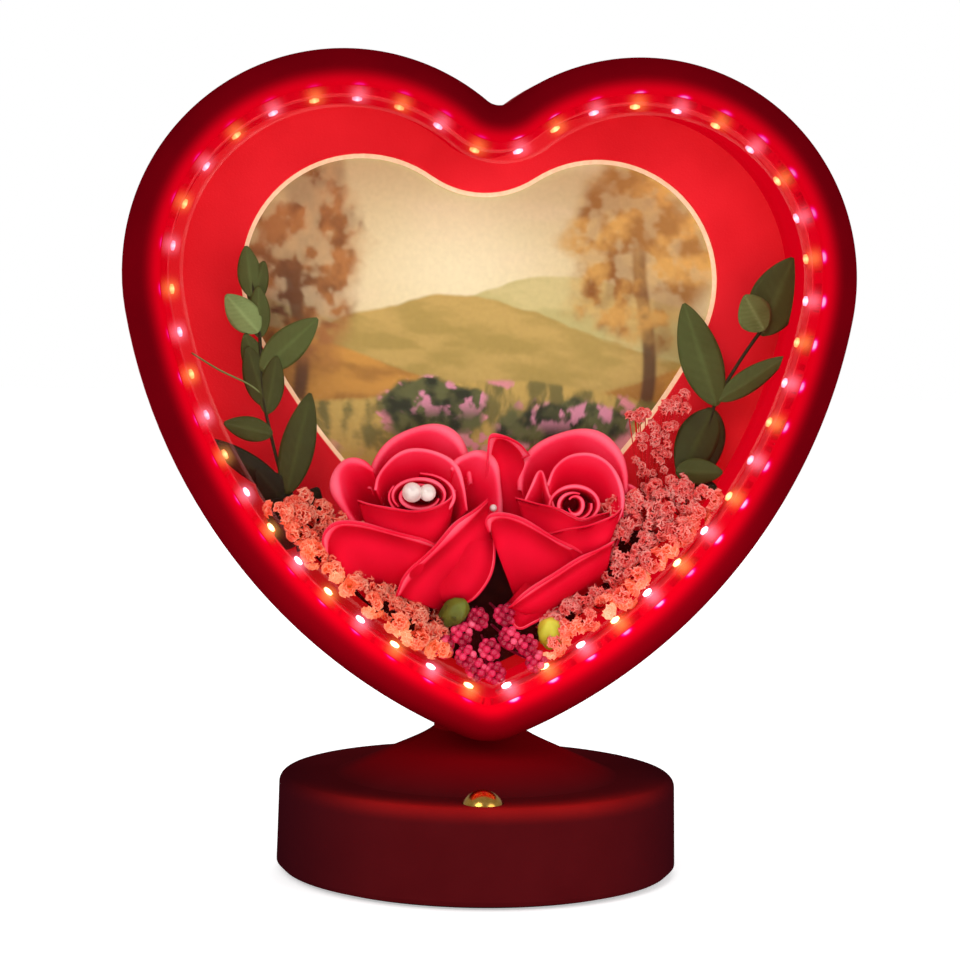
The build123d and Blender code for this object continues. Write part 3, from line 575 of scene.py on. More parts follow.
def petal(rim, depth, root, roll, out, root_depth, taper, bulge, wrap, wind=2.5, centre=None):
    # Sheet from a narrow root to its rim, which rolls over; out is 1 for a back petal and -1 for a front one
    across, up, curl = 33, 14, 9
    edge = curve(rim, across)
    side = np.linspace(-1, 1, across)
    wave = 0.6 * np.sin(4.1 * side + depth) + 0.4 * np.sin(7.7 * side + 2.3 * depth)
    cupped = out * wrap * side**2
    top = np.column_stack([edge[:, 0], depth - cupped + 0.45 * min(roll, 1.0) * wave, edge[:, 1]])
    narrow = np.array(root) + taper * (edge - edge.mean(0))
    foot = np.column_stack([narrow[:, 0], root_depth - taper * cupped, narrow[:, 1]])
    t = np.linspace(0, 1, up)[None, :, None]
    body = foot[:, None] + (top - foot)[:, None] * t
    body[..., 1] += out * bulge * np.sin(math.pi * t[..., 0])
    way = unit(body[:, -1] - body[:, -2])
    over = unit(np.cross(np.gradient(top, axis=0), way))
    hint = np.array([0.0, float(out), 0.0])
    if centre is not None:
        hint = top - np.array([centre[0], depth, centre[1]])
    over *= np.sign((over * hint).sum(1, keepdims=True))
    size = (roll * (1.0 - 0.7 * side**2) * (0.85 + 0.3 * wave))[:, None, None]
    bend = np.linspace(0, wind, curl + 1)[None, 1:, None]
    lip = top[:, None] + size * (np.sin(bend) * way[:, None] + (1 - np.cos(bend)) * over[:, None])
    # The tone rises from the root and is palest on the roll
    # Painted light and shade in the tone: darkest at the deep root and rising towards the rim, a painted
    # highlight on the roll, on front petals a painted shadow just under the roll, and a little darker towards
    # the sides
    rise = np.linspace(0, 1, up)
    roll_highlight = 0.62 + 0.36 * np.sin(np.linspace(0.2, math.pi, curl)) ** 0.8
    if out < 0:
        # Front petals: painted shade rising from the root and a painted shadow just under the roll
        sheet = 0.16 + 0.42 * rise - 0.30 * smooth(0.72, 1.0, rise)
    else:
        sheet = 0.02 + 0.64 * rise**1.7
    streak = np.concatenate([rise, np.ones(curl)]) * wave[:, None]
    tone = np.concatenate([sheet, roll_highlight]) - 0.08 * np.abs(side)[:, None] ** 3 + 0.09 * streak
    return np.concatenate([body, lip], 1), tone


def wound_heart(centre, sizes, depth, first):
    # Wound petals about the middle of a rose from the outside in, each a little deeper
    made = []
    for k, (wide, high) in enumerate(sizes):
        rim = []
        for share in np.linspace(0, 1, 14):
            turn = math.radians(first + 130.0 * k + 300.0 * share)
            swell = 1.0 + 0.15 * share
            rim.append((centre[0] + wide * swell * math.cos(turn), centre[1] + high * swell * math.sin(turn)))
        made.append((rim, depth - 0.4 * k, centre, 0.45, 1, -7.0, 0.7, 0.0, 0.0, 2.2, centre))
    return made


# Rims are points across and up from the middle of a rose. The rows give rim, depth, root, size of the roll,
# back or front, depth of the root, taper, bulge, wrap and, where it isn't 2.5, how far the roll winds


def left_petals():
    back = [(-11.5, 0.6), (-9.9, 7.1), (-5.9, 12.4), (0.0, 15.7), (5.3, 16.2), (10.1, 13.9), (13.6, 8.9)]
    back += [(15.4, 2.4)]
    inner = [(-9.9, 0.6), (-8.9, 4.7), (-5.3, 8.9), (-0.6, 11.0), (5.3, 10.4), (10.7, 7.4), (13.3, 1.8)]
    inner += [(14.8, -4.7)]
    right = [(10.7, 5.9), (13.0, 8.3), (17.2, 9.5), (20.7, 7.7), (22.6, 2.4), (23.1, -4.7), (21.9, -13.0)]
    left = [(-11.0, 5.6), (-14.2, 7.0), (-17.8, 7.0), (-19.7, 4.1), (-19.1, -0.6), (-17.2, -5.3)]
    left += [(-14.2, -9.5)]
    cup = [(-14.8, -2.4), (-10.7, -3.7), (-5.3, -4.7), (0.6, -5.3), (5.9, -4.4), (9.5, -2.4), (11.7, 0.6)]
    low_left = [(-22.5, -17.8), (-22.2, -13.0), (-19.5, -9.5), (-14.2, -9.5), (-6.5, -11.2), (0.6, -13.3)]
    low_left += [(7.1, -15.4)]
    low_right = [(20.4, -3.6), (22.1, -13.0), (21.6, -20.7), (18.9, -26.0), (14.8, -29.6), (7.7, -30.2)]
    flap = [(-3.0, -28.1), (0.0, -23.7), (4.7, -18.4), (10.7, -13.0), (16.0, -7.7), (20.6, -2.4)]
    return wound_heart((2.0, -0.8), [(8.2, 5.4), (6.4, 4.0), (4.6, 2.9)], -17.5, 150.0) + [
        (back, -6.0, (1.0, -14.0), 2.3, 1, -3.0, 0.4, 2.0, 4.0),
        (inner, -12.0, (1.0, -12.0), 0.8, 1, -6.0, 0.4, 1.5, 5.0),
        (right, -10.0, (8.0, -16.0), 1.9, 1, -6.0, 0.4, 1.0, 3.0),
        (left, -11.0, (-6.0, -14.0), 2.0, 1, -6.0, 0.4, 1.0, 3.0),
        (cup, -20.0, (1.0, -23.0), 0.7, -1, -10.0, 0.6, 3.5, 4.0),
        (low_right, -17.0, (8.0, -16.0), 0.5, -1, -16.0, 0.3, 3.0, 3.0),
        (low_left, -21.5, (-3.0, -30.0), 2.2, -1, -13.0, 0.55, 3.0, 3.0),
        (flap, -19.5, (15.0, -25.0), 2.9, -1, -14.0, 0.6, 2.0, 2.0, 2.3),
    ]


def right_petals():
    back = [(-15.1, 3.0), (-14.5, 7.7), (-12.1, 12.4), (-7.1, 16.0), (-0.6, 17.9), (5.3, 16.9), (10.1, 13.0)]
    back += [(12.7, 8.3), (13.5, 2.4)]
    inner = [(-8.0, 4.7), (-5.9, 9.5), (-1.8, 12.4), (4.1, 12.7), (8.9, 9.8), (11.8, 4.1), (12.1, -2.4)]
    inner += [(8.9, -8.3)]
    tall = [(-24.6, -2.4), (-24.4, 7.7), (-23.1, 16.0), (-20.7, 17.3), (-17.2, 15.1), (-14.8, 11.2)]
    tall += [(-14.6, 4.0)]
    pointed = [(-6.2, -1.8), (-8.3, 3.0), (-10.1, 8.4), (-12.1, 4.7), (-14.2, 0.6)]
    small_right = [(12.1, -2.4), (12.4, 3.6), (14.8, 4.4), (17.5, 2.1), (17.2, -1.2), (14.2, -5.3)]
    side_right = [(12.1, 3.0), (12.7, -4.1), (11.2, -10.7), (8.3, -15.4)]
    cup = [(-16.9, 1.1), (-11.8, -0.3), (-5.9, -1.8), (-1.8, -3.8), (1.5, -5.0), (5.6, -3.7), (9.2, -2.7)]
    second_cup = [(-8.9, -8.9), (-2.4, -7.4), (3.6, -6.2), (9.5, -3.9), (12.3, -1.5)]
    point = [(-18.4, -27.2), (-17.5, -31.4), (-15.4, -34.0), (-12.1, -32.6), (-6.5, -29.6), (0.6, -24.9)]
    low_left = [(-23.7, -8.3), (-23.1, -5.3), (-20.1, -4.4), (-15.4, -5.9), (-9.5, -8.9), (-4.1, -12.1)]
    low_left += [(1.5, -14.7)]
    low_right = [(-18.1, -28.7), (-13.6, -25.8), (-6.5, -21.0), (0.6, -16.3), (5.9, -13.3), (9.8, -11.0)]
    return wound_heart((-0.6, -0.6), [(6.2, 4.6), (4.0, 3.4), (1.8, 2.2)], -16.0, 300.0) + [
        (back, -6.0, (-1.0, -16.0), 2.4, 1, -3.0, 0.4, 2.0, 4.0),
        (inner, -12.0, (1.0, -12.0), 0.7, 1, -6.0, 0.4, 1.5, 5.0),
        (tall, -9.0, (-12.0, -16.0), 2.2, -1, -5.0, 0.4, 1.0, 3.0),
        (pointed, -14.0, (-8.0, -12.0), 0.4, 1, -8.0, 0.4, 1.0, 2.0),
        (small_right, -8.0, (8.0, -14.0), 1.0, 1, -5.0, 0.4, 1.0, 2.0),
        (side_right, -14.0, (2.0, -16.0), 0.5, -1, -10.0, 0.5, 2.0, 2.0),
        (cup, -18.0, (0.0, -22.0), 0.7, -1, -10.0, 0.6, 3.0, 3.0),
        (second_cup, -19.5, (0.0, -24.0), 0.4, -1, -12.0, 0.6, 3.0, 2.0),
        (point, -17.0, (-8.0, -18.0), 0.5, -1, -15.0, 0.3, 3.0, 2.0),
        (low_left, -21.5, (-11.0, -30.0), 2.2, -1, -13.0, 0.45, 3.0, 3.0),
        (low_right, -22.0, (0.0, -27.0), 1.7, -1, -13.0, 0.6, 3.0, 3.0),
    ]


def rose_finish():
    look = Finish("soap_petal", rough=0.48, shine=0.02)
    reds = [(0.0, 116, 0, 12), (0.25, 186, 0, 24), (0.5, 224, 8, 42), (0.75, 238, 46, 76)]
    reds += [(1.0, 250, 106, 128)]
    colour = look.ramp(look.shaken(look.mark("tone"), 90.0, 0.12), tones(*reds))
    look.colour(colour)
    # Painted glow: the petals give off a little of their own colour as light
    look.glow(colour, 0.06)
    look.bump(700.0, 0.06)
    return look.material


def roses():
    # Each rose faces the viewer, a little to the left and up
    lean_x, lean_z, thick = 0.123, -0.052, 0.5
    look = rose_finish()
    sides = (("left", (-21.2, -19.0, 106.5), left_petals()), ("right", (24.4, -17.0, 104.0), right_petals()))
    for side, (x, y, z), petals in sides:
        shape = Shape()
        for values in petals:
            grid, tone = petal(*values)
            away = grid[..., 1] - y
            placed = grid + np.stack([x + lean_x * away, 0.0 * away, z + lean_z * away], -1)
            shape.add(*sheet_shell(placed, thick), tone=np.concatenate([tone, tone - 0.04]))
        shape.piece("rose_bloom_" + side, [look], "rose_" + side, "rose")


def pearl_shapes():
    # Two pearls in the left rose and a tiny one, each with its drilled dimple
    shape = Shape()
    tilt = np.array(Matrix.Rotation(1.1, 3, "X"))
    pearls = ((-21.4, -20.5, 106.8, 2.75), (-17.2, -19.6, 106.7, 2.35), (1.3, -16.5, 102.5, 1.0))
    for x, y, z, radius in pearls:
        points, faces = lathe(ball(radius, 17, 0.86), 24)
        shape.add(points @ tilt.T + np.array([x, y, z]), faces)
    look = Finish("pearl_nacre", rough=0.18, shine=0.6)
    nacre = tones((0.3, 206, 180, 172), (0.5, 232, 216, 206), (0.7, 218, 192, 192))
    look.colour(look.ramp(look.noise(260.0), nacre))
    look.bump(500.0, 0.04)
    shape.piece("pearl_set", [look.material], "pearls", "pearl")


# Leaves, small blossoms, buds and berries


def leaf_grid(base, tip, width, y, cup=0.8, lift=-3.0):
    # Pointed leaf with a sunk rib, and the tone of its rib and veins
    rows, columns = 22, 11
    base = np.array(base, float)
    way = np.array(tip, float) - base
    across = np.array([-way[1], way[0]]) / np.linalg.norm(way)
    v = np.linspace(0.0, 1.0, rows)[:, None]
    u = np.linspace(-1.0, 1.0, columns)[None, :]
    half = width / 2 * np.sin(math.pi * np.clip(v, 0.004, 0.996) ** 0.86) ** 0.72 + 0.25
    flat = base + v[..., None] * way + (half * u)[..., None] * across
    sunk = 0.35 * np.exp(-((u / 0.16) ** 2)) * (1 - v)
    depth = y + lift * v**1.4 + cup * u**2 * np.sin(math.pi * v) - sunk
    vein = np.cos(2 * math.pi * (v * 9.0 - np.abs(u) * 1.6))
    tone = 0.10 * np.exp(-((u / 0.10) ** 2)) + 0.025 * vein
    return np.stack([flat[..., 0], depth, flat[..., 1]], -1), tone


def sprig(side, look, stem, leaves, twigs=()):
    # Leaves are given as base, tip, width, tone, depth and lift of the tip
    shape = Shape()
    shape.add(*tube([(x, -2.0 - 0.02 * k, z) for k, (x, z) in enumerate(stem)], 0.5), tone=0.18)
    for line in twigs:
        shape.add(*tube([(x, -2.2, z) for x, z in line], 0.28, sides=6), tone=0.85)
    for base, tip, width, tone, y, lift in leaves:
        grid, shade = leaf_grid(base, tip, width, y, lift=lift)
        shade = tone + shade
        shape.add(*sheet_shell(grid, 0.35), tone=np.concatenate([shade, shade - 0.06]))
    shape.piece("leaves_" + side, [look], "leaf_sprig_" + side, "leaf")


def leaf_finish():
    look = Finish("preserved_leaf", rough=0.55, shine=0.12)
    greens = [(0.0, 28, 20, 12), (0.2, 46, 42, 22), (0.45, 66, 70, 30), (0.7, 86, 98, 50)]
    greens += [(1.0, 136, 156, 96)]
    look.colour(look.ramp(look.shaken(look.mark("tone"), 160.0, 0.16), tones(*greens)))
    look.bump(500.0, 0.2)
    return look.material


def sprigs():
    look = leaf_finish()
    stem = [(-51.0, 89.0), (-54.0, 103.0), (-58.0, 117.0), (-61.5, 133.0), (-62.5, 149.0), (-65.0, 164.0)]
    leaves = [
        ((-64.5, 159.0), (-66.5, 173.0), 6.0, 0.55, -2.0, -1.5),
        ((-64.5, 157.0), (-61.5, 169.0), 5.0, 0.45, -1.5, -1.0),
        ((-62.8, 149.5), (-71.8, 159.5), 8.0, 0.85, -2.5, -3.0),
        ((-62.4, 148.0), (-63.0, 162.0), 5.6, 0.5, -2.0, -1.0),
        ((-62.0, 139.0), (-46.8, 153.5), 9.0, 0.58, -2.5, -3.0),
        ((-61.8, 137.0), (-66.5, 149.0), 6.0, 0.42, -2.0, -1.0),
        ((-60.5, 129.0), (-65.8, 145.5), 7.0, 0.36, -2.0, -1.0),
        ((-60.2, 127.0), (-57.8, 143.0), 6.4, 0.40, -2.2, -1.5),
        ((-58.6, 121.5), (-72.0, 124.5), 6.2, 0.46, -2.5, -3.0),
        ((-54.5, 105.0), (-48.6, 133.0), 9.0, 0.38, -3.0, -3.5),
        ((-55.0, 106.0), (-76.0, 120.0), 6.0, 0.12, -3.0, -2.0),
        ((-53.5, 101.0), (-63.0, 112.0), 8.0, 0.10, -2.5, -3.0),
        ((-52.5, 97.0), (-59.5, 103.0), 9.0, 0.06, -3.5, -2.5),
        ((-52.0, 94.0), (-46.0, 107.0), 8.0, 0.08, -3.0, -2.0),
        ((-51.5, 91.0), (-57.0, 96.0), 8.0, 0.06, -3.0, -1.0),
    ]
    twig = [(-61.5, 132.5), (-66.0, 135.5), (-73.5, 139.0), (-81.0, 143.5)]
    sprig("left", look, stem, leaves, [twig])
    stem = [(55.0, 97.0), (60.0, 109.0), (63.5, 123.0), (66.0, 132.0), (72.5, 143.5), (79.0, 153.0)]
    leaves = [
        ((66.2, 131.0), (55.5, 159.5), 11.5, 0.52, -2.5, -3.0),
        ((78.5, 151.0), (86.8, 173.0), 14.0, 0.45, -2.0, -2.0),
        ((79.0, 152.5), (72.0, 162.0), 9.5, 0.74, -4.0, -5.0),
        ((66.8, 132.5), (84.8, 145.0), 6.2, 0.55, -2.5, -3.0),
        ((65.0, 130.0), (55.5, 110.5), 11.5, 0.34, -2.0, -3.0),
        ((64.5, 130.5), (63.0, 111.5), 10.0, 0.26, -1.8, -1.0),
        ((54.0, 112.5), (67.0, 112.5), 7.0, 0.5, -6.0, -2.0),
        ((54.5, 108.5), (66.0, 108.0), 6.4, 0.16, -5.0, -1.0),
    ]
    sprig("right", look, stem, leaves)


def floret(shape, at, size, facing, warm):
    # Small crinkled blossom of ruffled petals in two rings about the way it faces
    facing = unit(np.asarray(facing, float))
    first = unit(np.cross(facing, np.array([0.2, 0.3, 0.93])))
    second = np.cross(facing, first)
    rows, columns = 4, 7
    v = np.linspace(0.1, 1.0, rows)[:, None]
    s = np.linspace(-1, 1, columns)[None, :]
    zigzag = np.where(np.arange(columns) % 2, 1.0, -1.0)[None, :]
    for ring, count in ((0.0, 5), (0.6, 3)):
        for k in range(count):
            turn = 2 * math.pi * (k + dice.random() * 0.5) / count + ring
            rise = 0.35 + 1.1 * ring + 0.3 * dice.random()
            flat = first * math.cos(turn) + second * math.sin(turn)
            out = flat * math.cos(rise) + facing * math.sin(rise)
            side = np.cross(facing, flat)
            up = np.cross(out, side)
            phase = dice.random() * 6.0
            reach = size * (1.0 - 0.3 * ring) * v * (1.0 - 0.16 * s**2)
            wide = size * 0.66 * s * np.sin(math.pi * (0.12 + 0.5 * v))
            ruffle = size * v**2 * (0.28 * np.sin(3.3 * s + phase) + 0.17 * zigzag)
            grid = reach[..., None] * out + wide[..., None] * side + ruffle[..., None] * up
            tone = np.repeat(0.12 + 0.62 * v[:, 0], columns) + 0.25 * (dice.random() - 0.5)
            shape.add(*sheet_shell(grid + np.array(at), 0.08 * size), tone=np.tile(tone, 2), warm=warm)


def near_light(x, z):
    # How strongly the nearest light warms a spot, a warm one more than a cool one
    gap, warm = min((math.hypot(lx - x, lz - z), number % 2) for lx, lz, _, number in led_spots())
    low = float(smooth(110.0, 80.0, z))
    return float(smooth(10.5, 3.0, gap)) * (1.0 if warm else 0.8) * (0.35 + 0.65 * low)


def filler_finish(name, *colours):
    look = Finish(name, rough=0.7, shine=0.05)
    look.colour(look.ramp(look.shaken(look.mark("tone"), 500.0, 0.35), tones(*colours)))
    glints = tones((0.0, 255, 60, 30), (0.55, 255, 130, 50), (1.0, 255, 226, 170))
    light = look.ramp(look.mark("warm"), glints)
    look.glow(light, look.calc("MULTIPLY", look.calc("POWER", look.mark("warm"), 1.5), 0.65))
    look.bump(1500.0, 0.3)
    return look.material


def filler(side, spots):
    # Clumps of crinkled blossoms, each on its own stalk from the foam
    blossoms = 6
    shape = Shape()
    for share, inset, y, size in spots:
        x, z, _ = heart_spot(inset, share, side)
        for k in range(blossoms):
            slope = math.acos(1.0 - (k + 0.4) / blossoms)
            spin = GOLDEN_TURN * k + 6.0 * dice.random()
            flat = math.sin(slope)
            facing = np.array([flat * math.cos(spin), -math.cos(slope), flat * math.sin(spin)])
            at = np.array([x, y, z]) + facing * size * 1.15
            floret(shape, at, size * (0.8 + 0.35 * dice.random()), facing, near_light(at[0], at[2]))
        stalk = [(x * 0.93, FOAM_Y, z + 1.0), (x * 0.97, (y + FOAM_Y) / 2, z - 1.2), (x, y, z)]
        shape.add(*tube(stalk, 0.3, sides=6, steps=4), tone=0.1)
    return shape


def clump_spots(first, last, count, widest):
    # Places in staggered lanes along a flank, as share, inset, depth and size
    spots = []
    for k in range(count):
        share = first + (last - first) * (k + 0.5) / count
        lane = (k * 3 % 4) / 3.0
        room = widest * (0.35 + 0.65 * math.sin(math.pi * (k + 0.5) / count) ** 0.8)
        inset = 16.8 + room * lane + 2.0 * dice.random()
        spots.append((share, inset, -20.0 + 9.0 * lane + 2.0 * dice.random(), 1.9 + 0.5 * dice.random()))
    return spots


def fine_sprig(shape):
    # Thin upright stalks beside the right rose, spreading from one root
    count = 46
    root_x, root_z = 45.0, 96.0
    for k in range(count):
        high = (k / (count - 1)) ** 0.55
        x = 46.0 + 20.0 * high * (dice.random() - 0.38)
        z = 99.0 + 34.0 * high + 3.0 * (dice.random() - 0.5)
        floret(shape, (x, -4.0 - 2.0 * dice.random(), z), 1.0 + 0.8 * high, (0.3, -0.8, 0.5), 0.0)
        middle = ((root_x + x) / 2 + 0.5, -3.6, (root_z + z) / 2)
        stalk = [(root_x, FOAM_Y - 0.1, root_z), middle, (x, -4.0, z)]
        shape.add(*tube(stalk, 0.16, sides=5, steps=4), tone=0.3)


def fillers():
    coral = [(0.0, 120, 6, 6), (0.3, 208, 34, 26), (0.6, 240, 92, 70), (1.0, 255, 196, 166)]
    pink = [(0.0, 120, 4, 10), (0.3, 206, 26, 30), (0.6, 240, 84, 80), (1.0, 255, 190, 178)]
    shape = filler(-1, clump_spots(0.706, 0.952, 34, 12.5))
    shape.piece("blossoms_left", [filler_finish("dried_blossom", *coral)], "filler_left", "blossom")
    shape = filler(1, clump_spots(0.684, 0.930, 42, 17.0))
    fine_sprig(shape)
    shape.piece("blossoms_right", [filler_finish("dried_blossom_pink", *pink)], "filler_right", "blossom")


def bud_shapes():
    # Ribbed buds, each in a ring of five sepals and on a stalk from the foam
    low, high, sepals = -4.0, 5.0, 5
    profile = [(0.0, low), (1.6, -3.8), (2.9, -2.6), (3.5, -0.6), (3.4, 1.2), (2.7, 3.0), (1.5, 4.3)]
    profile += [(0.6, 4.9), (0.0, high)]
    shape = Shape()
    buds = ((-8.8, -17.0, 74.0, 1.0, 0.25, 0.5), (17.6, -18.0, 68.5, 1.05, 0.8, -0.2))
    for x, y, z, size, tone, turn in buds:
        at = np.array([x, y, z])
        points, faces = lathe([(r * size, h * size) for r, h in profile], 30, lobes=5, depth=0.07)
        spin = np.array(Matrix.Rotation(0.75, 3, "X") @ Matrix.Rotation(turn, 3, "Y"))
        lift = np.clip((points[:, 2] / size - low) / (high - low), 0, 1)
        shape.add(points @ spin.T + at, faces, tone=tone + 0.25 * (lift - 0.5))
        leaf, _ = leaf_grid((0.0, 0.0), (0.0, 4.6 * size), 2.6 * size, 0.0, cup=-0.4, lift=1.4)
        leaf = np.stack([leaf[..., 0], 2.9 * size + 0.25 * leaf[..., 1], leaf[..., 2] - 3.6 * size], -1)
        for k in range(sepals):
            about = np.array(Matrix.Rotation(2 * math.pi * k / sepals + 0.3, 3, "Z"))
            shape.add(*sheet_shell(leaf @ about.T @ spin.T + at, 0.3), tone=tone - 0.12)
        stalk = [(x, y + 3.0, z - 2.0), (x, -8.0, z - 3.0), (x, FOAM_Y, z - 3.0)]
        shape.add(*tube(stalk, 0.6, sides=7), tone=tone - 0.2)
    look = Finish("bud_green", rough=0.5, shine=0.3)
    greens = tones((0.0, 46, 50, 14), (0.4, 104, 112, 26), (0.75, 170, 176, 30), (1.0, 226, 214, 70))
    look.colour(look.ramp(look.shaken(look.mark("tone"), 300.0, 0.25), greens))
    look.bump(600.0, 0.2)
    shape.piece("bud_set", [look.material], "green_buds", "bud")


def berry_shapes():
    # Bunches of tiny round berries on short stalks, with each bunch given as across, up and depth
    berries, wide, tall = 17, 2.3, 2.5
    bunches = [(-7, 68, -18), (-2.5, 72, -17), (5, 73, -16), (-6, 62, -20), (0.5, 64, -20), (6, 67, -19)]
    bunches += [(11, 65, -19), (13.5, 60.5, -20), (-12, 64.5, -18), (2, 57.5, -20.5), (-3, 58.5, -20)]
    shape = Shape()
    for bx, bz, by in bunches:
        stalk = [(bx * 0.5, FOAM_Y - 0.1, bz + 2.0), (bx * 0.8, by / 2, bz + 0.5), (bx, by, bz)]
        shape.add(*tube(stalk, 0.35, sides=6, steps=4), tone=0.0)
        for k in range(berries):
            rise = 1.0 - 2.0 * (k + 0.5) / berries
            spin = GOLDEN_TURN * k
            flat = wide * math.sqrt(1 - rise * rise)
            size = 0.95 + 0.2 * dice.random()
            at = (bx + flat * math.cos(spin), by + flat * math.sin(spin), bz + tall * rise)
            shape.add(*lathe(ball(size, 7, 0.88), 10, at), tone=0.25 + 0.65 * dice.random())
    look = Finish("berry_pink", rough=0.35, shine=0.4)
    pinks = tones((0.0, 70, 4, 22), (0.35, 150, 10, 46), (0.7, 214, 36, 84), (1.0, 244, 110, 140))
    look.colour(look.ramp(look.shaken(look.mark("tone"), 900.0, 0.3), pinks))
    # Painted glow: the berries give off a little pink light
    look.glow(linear(230, 20, 70), 0.12)
    look.bump(1400.0, 0.2)
    shape.piece("berry_set", [look.material], "berry_cluster", "berry")


# Picture: an open valley at evening, made up for this part


def cloud(x, z, size, seed, octaves=4):
    # Smooth lattice noise between 0 and 1
    table = np.random.default_rng(seed).random((64, 64))
    total = np.zeros_like(x)
    weight = 0.0
    for k in range(octaves):
        step = size / 2**k
        px, pz = x / step + 17.3 * k, z / step + 9.1 * k
        ix, iz = np.floor(px).astype(int), np.floor(pz).astype(int)
        fx, fz = smooth(0.0, 1.0, px - ix), smooth(0.0, 1.0, pz - iz)
        a, b = table[ix % 64, iz % 64], table[(ix + 1) % 64, iz % 64]
        c, d = table[ix % 64, (iz + 1) % 64], table[(ix + 1) % 64, (iz + 1) % 64]
        total += ((a * (1 - fx) + b * fx) * (1 - fz) + (c * (1 - fx) + d * fx) * fz) / 2**k
        weight += 1 / 2**k
    return total / weight


def mixed(base, top, share):
    # Colours of all points, each a share of the way from base to top
    return base + (top - base) * share[:, None]


def tint(*values):
    return np.array(linear(*values)[:3])


def oval(x, z, cx, cz, rx, rz):
    # Below one inside an oval
    return ((x - cx) / rx) ** 2 + ((z - cz) / rz) ** 2


def sky(x, z):
    made = mixed(tint(226, 210, 158), tint(206, 188, 134), np.clip((z - 108.0) / 92.0, 0, 1))
    made = mixed(made, tint(240, 230, 188), 0.7 * np.exp(-oval(x, z, -6.0, 168.0, 30.0, 20.0)))
    streak = cloud(x * 0.35, z * 1.6, 22.0, 3)
    return mixed(made, tint(240, 214, 178), smooth(0.5, 0.8, streak) * 0.35)


def valley(x, z):
    # Colour of every point of the picture
    made = sky(x, z)
    # Hills from far to near, as level, rate and height of the swell, its phase, light and dark tone
    hills = (
        (160.0, 0.055, 7.0, 0.3, (204, 190, 128), (186, 176, 112)),
        (152.0, 0.045, 9.0, 1.9, (190, 160, 88), (166, 142, 72)),
        (142.0, 0.036, 10.0, 4.1, (196, 142, 62), (150, 104, 44)),
    )
    for level, rate, swell, phase, light, dark in hills:
        line = level + swell * np.sin(x * rate + phase) + 3.0 * (cloud(x, z * 0, 12.0, int(level)) - 0.5)
        grain = cloud(x * 0.8 + z * 0.5, z * 2.2, 9.0, int(level) + 1)
        shade = smooth(0.3, 0.7, grain) * 0.8 + 0.2 * smooth(0, 14, line - z)
        made = mixed(made, mixed(tint(*light), tint(*dark), shade), smooth(0.6, -0.6, z - line))
    # Golden trees on both sides, in soft tufts of leaves that thin out towards their edges
    trees = (
        (47.0, 176.0, 25.0, 27.0, 11, (226, 178, 92), (140, 88, 36)),
        (-52.0, 170.0, 20.0, 33.0, 17, (176, 118, 62), (92, 54, 26)),
    )
    for cx, cz, rx, rz, seed, light, dark in trees:
        trunk = smooth(2.6, 1.2, np.abs(x - cx - 1.8 * np.sin(z * 0.10)))
        trunk = trunk * smooth(cz + 4.0, cz - 6.0, z) * smooth(126.0, 132.0, z)
        made = mixed(made, tint(88, 58, 36), trunk * 0.9)
        edge = oval(x, z, cx, cz, rx, rz) + 1.5 * (cloud(x, z, 11.0, seed) - 0.5)
        tuft = smooth(0.35, 0.62, cloud(x, z, 4.0, seed + 5, 3))
        lee = smooth(-0.7, 0.9, (cx - x) / rx - (z - cz) / rz)
        shade = smooth(0.3, 0.7, cloud(x, z, 6.5, seed + 1)) * 0.65 + 0.35 * lee
        body = mixed(tint(*light), tint(*dark), np.clip(shade, 0, 1))
        made = mixed(made, body, smooth(1.25, 0.55, edge) * (0.55 + 0.45 * tuft))
    # Meadow with drifts of dusty pink and a dark hedge in front
    meadow = 134.0 + 3.0 * np.sin(x * 0.06 + 1.0) + 2.0 * (cloud(x, z * 0, 8.0, 23) - 0.5)
    blades = cloud(x * 1.6, z * 0.7, 5.0, 27)
    body = mixed(tint(188, 158, 82), tint(116, 106, 54), smooth(0.35, 0.65, blades))
    pink = smooth(0.56, 0.64, cloud(x, z * 1.8, 6.0, 31)) * smooth(0.35, 0.6, cloud(x, z, 22.0, 33))
    body = mixed(body, tint(214, 138, 142), np.clip(pink * 1.3, 0, 1))
    made = mixed(made, body, smooth(0.6, -0.6, z - meadow))
    for cx, cz, rx, rz, seed in ((-14.0, 128.0, 17.0, 9.0, 41), (24.0, 124.0, 20.0, 8.0, 47)):
        edge = oval(x, z, cx, cz, rx, rz) + 1.3 * (cloud(x, z, 7.0, seed) - 0.5)
        leafy = cloud(x, z, 3.5, seed + 2)
        body = mixed(tint(96, 98, 56), tint(44, 48, 28), smooth(0.3, 0.7, leafy))
        flower = smooth(0.54, 0.64, cloud(x, z, 4.0, seed + 4)) * smooth(cz - 3.0, cz + 4.0, z)
        body = mixed(body, tint(214, 140, 160), flower)
        made = mixed(made, body, smooth(1.15, 0.75, edge))
    return np.clip(made, 0.0, 1.0)


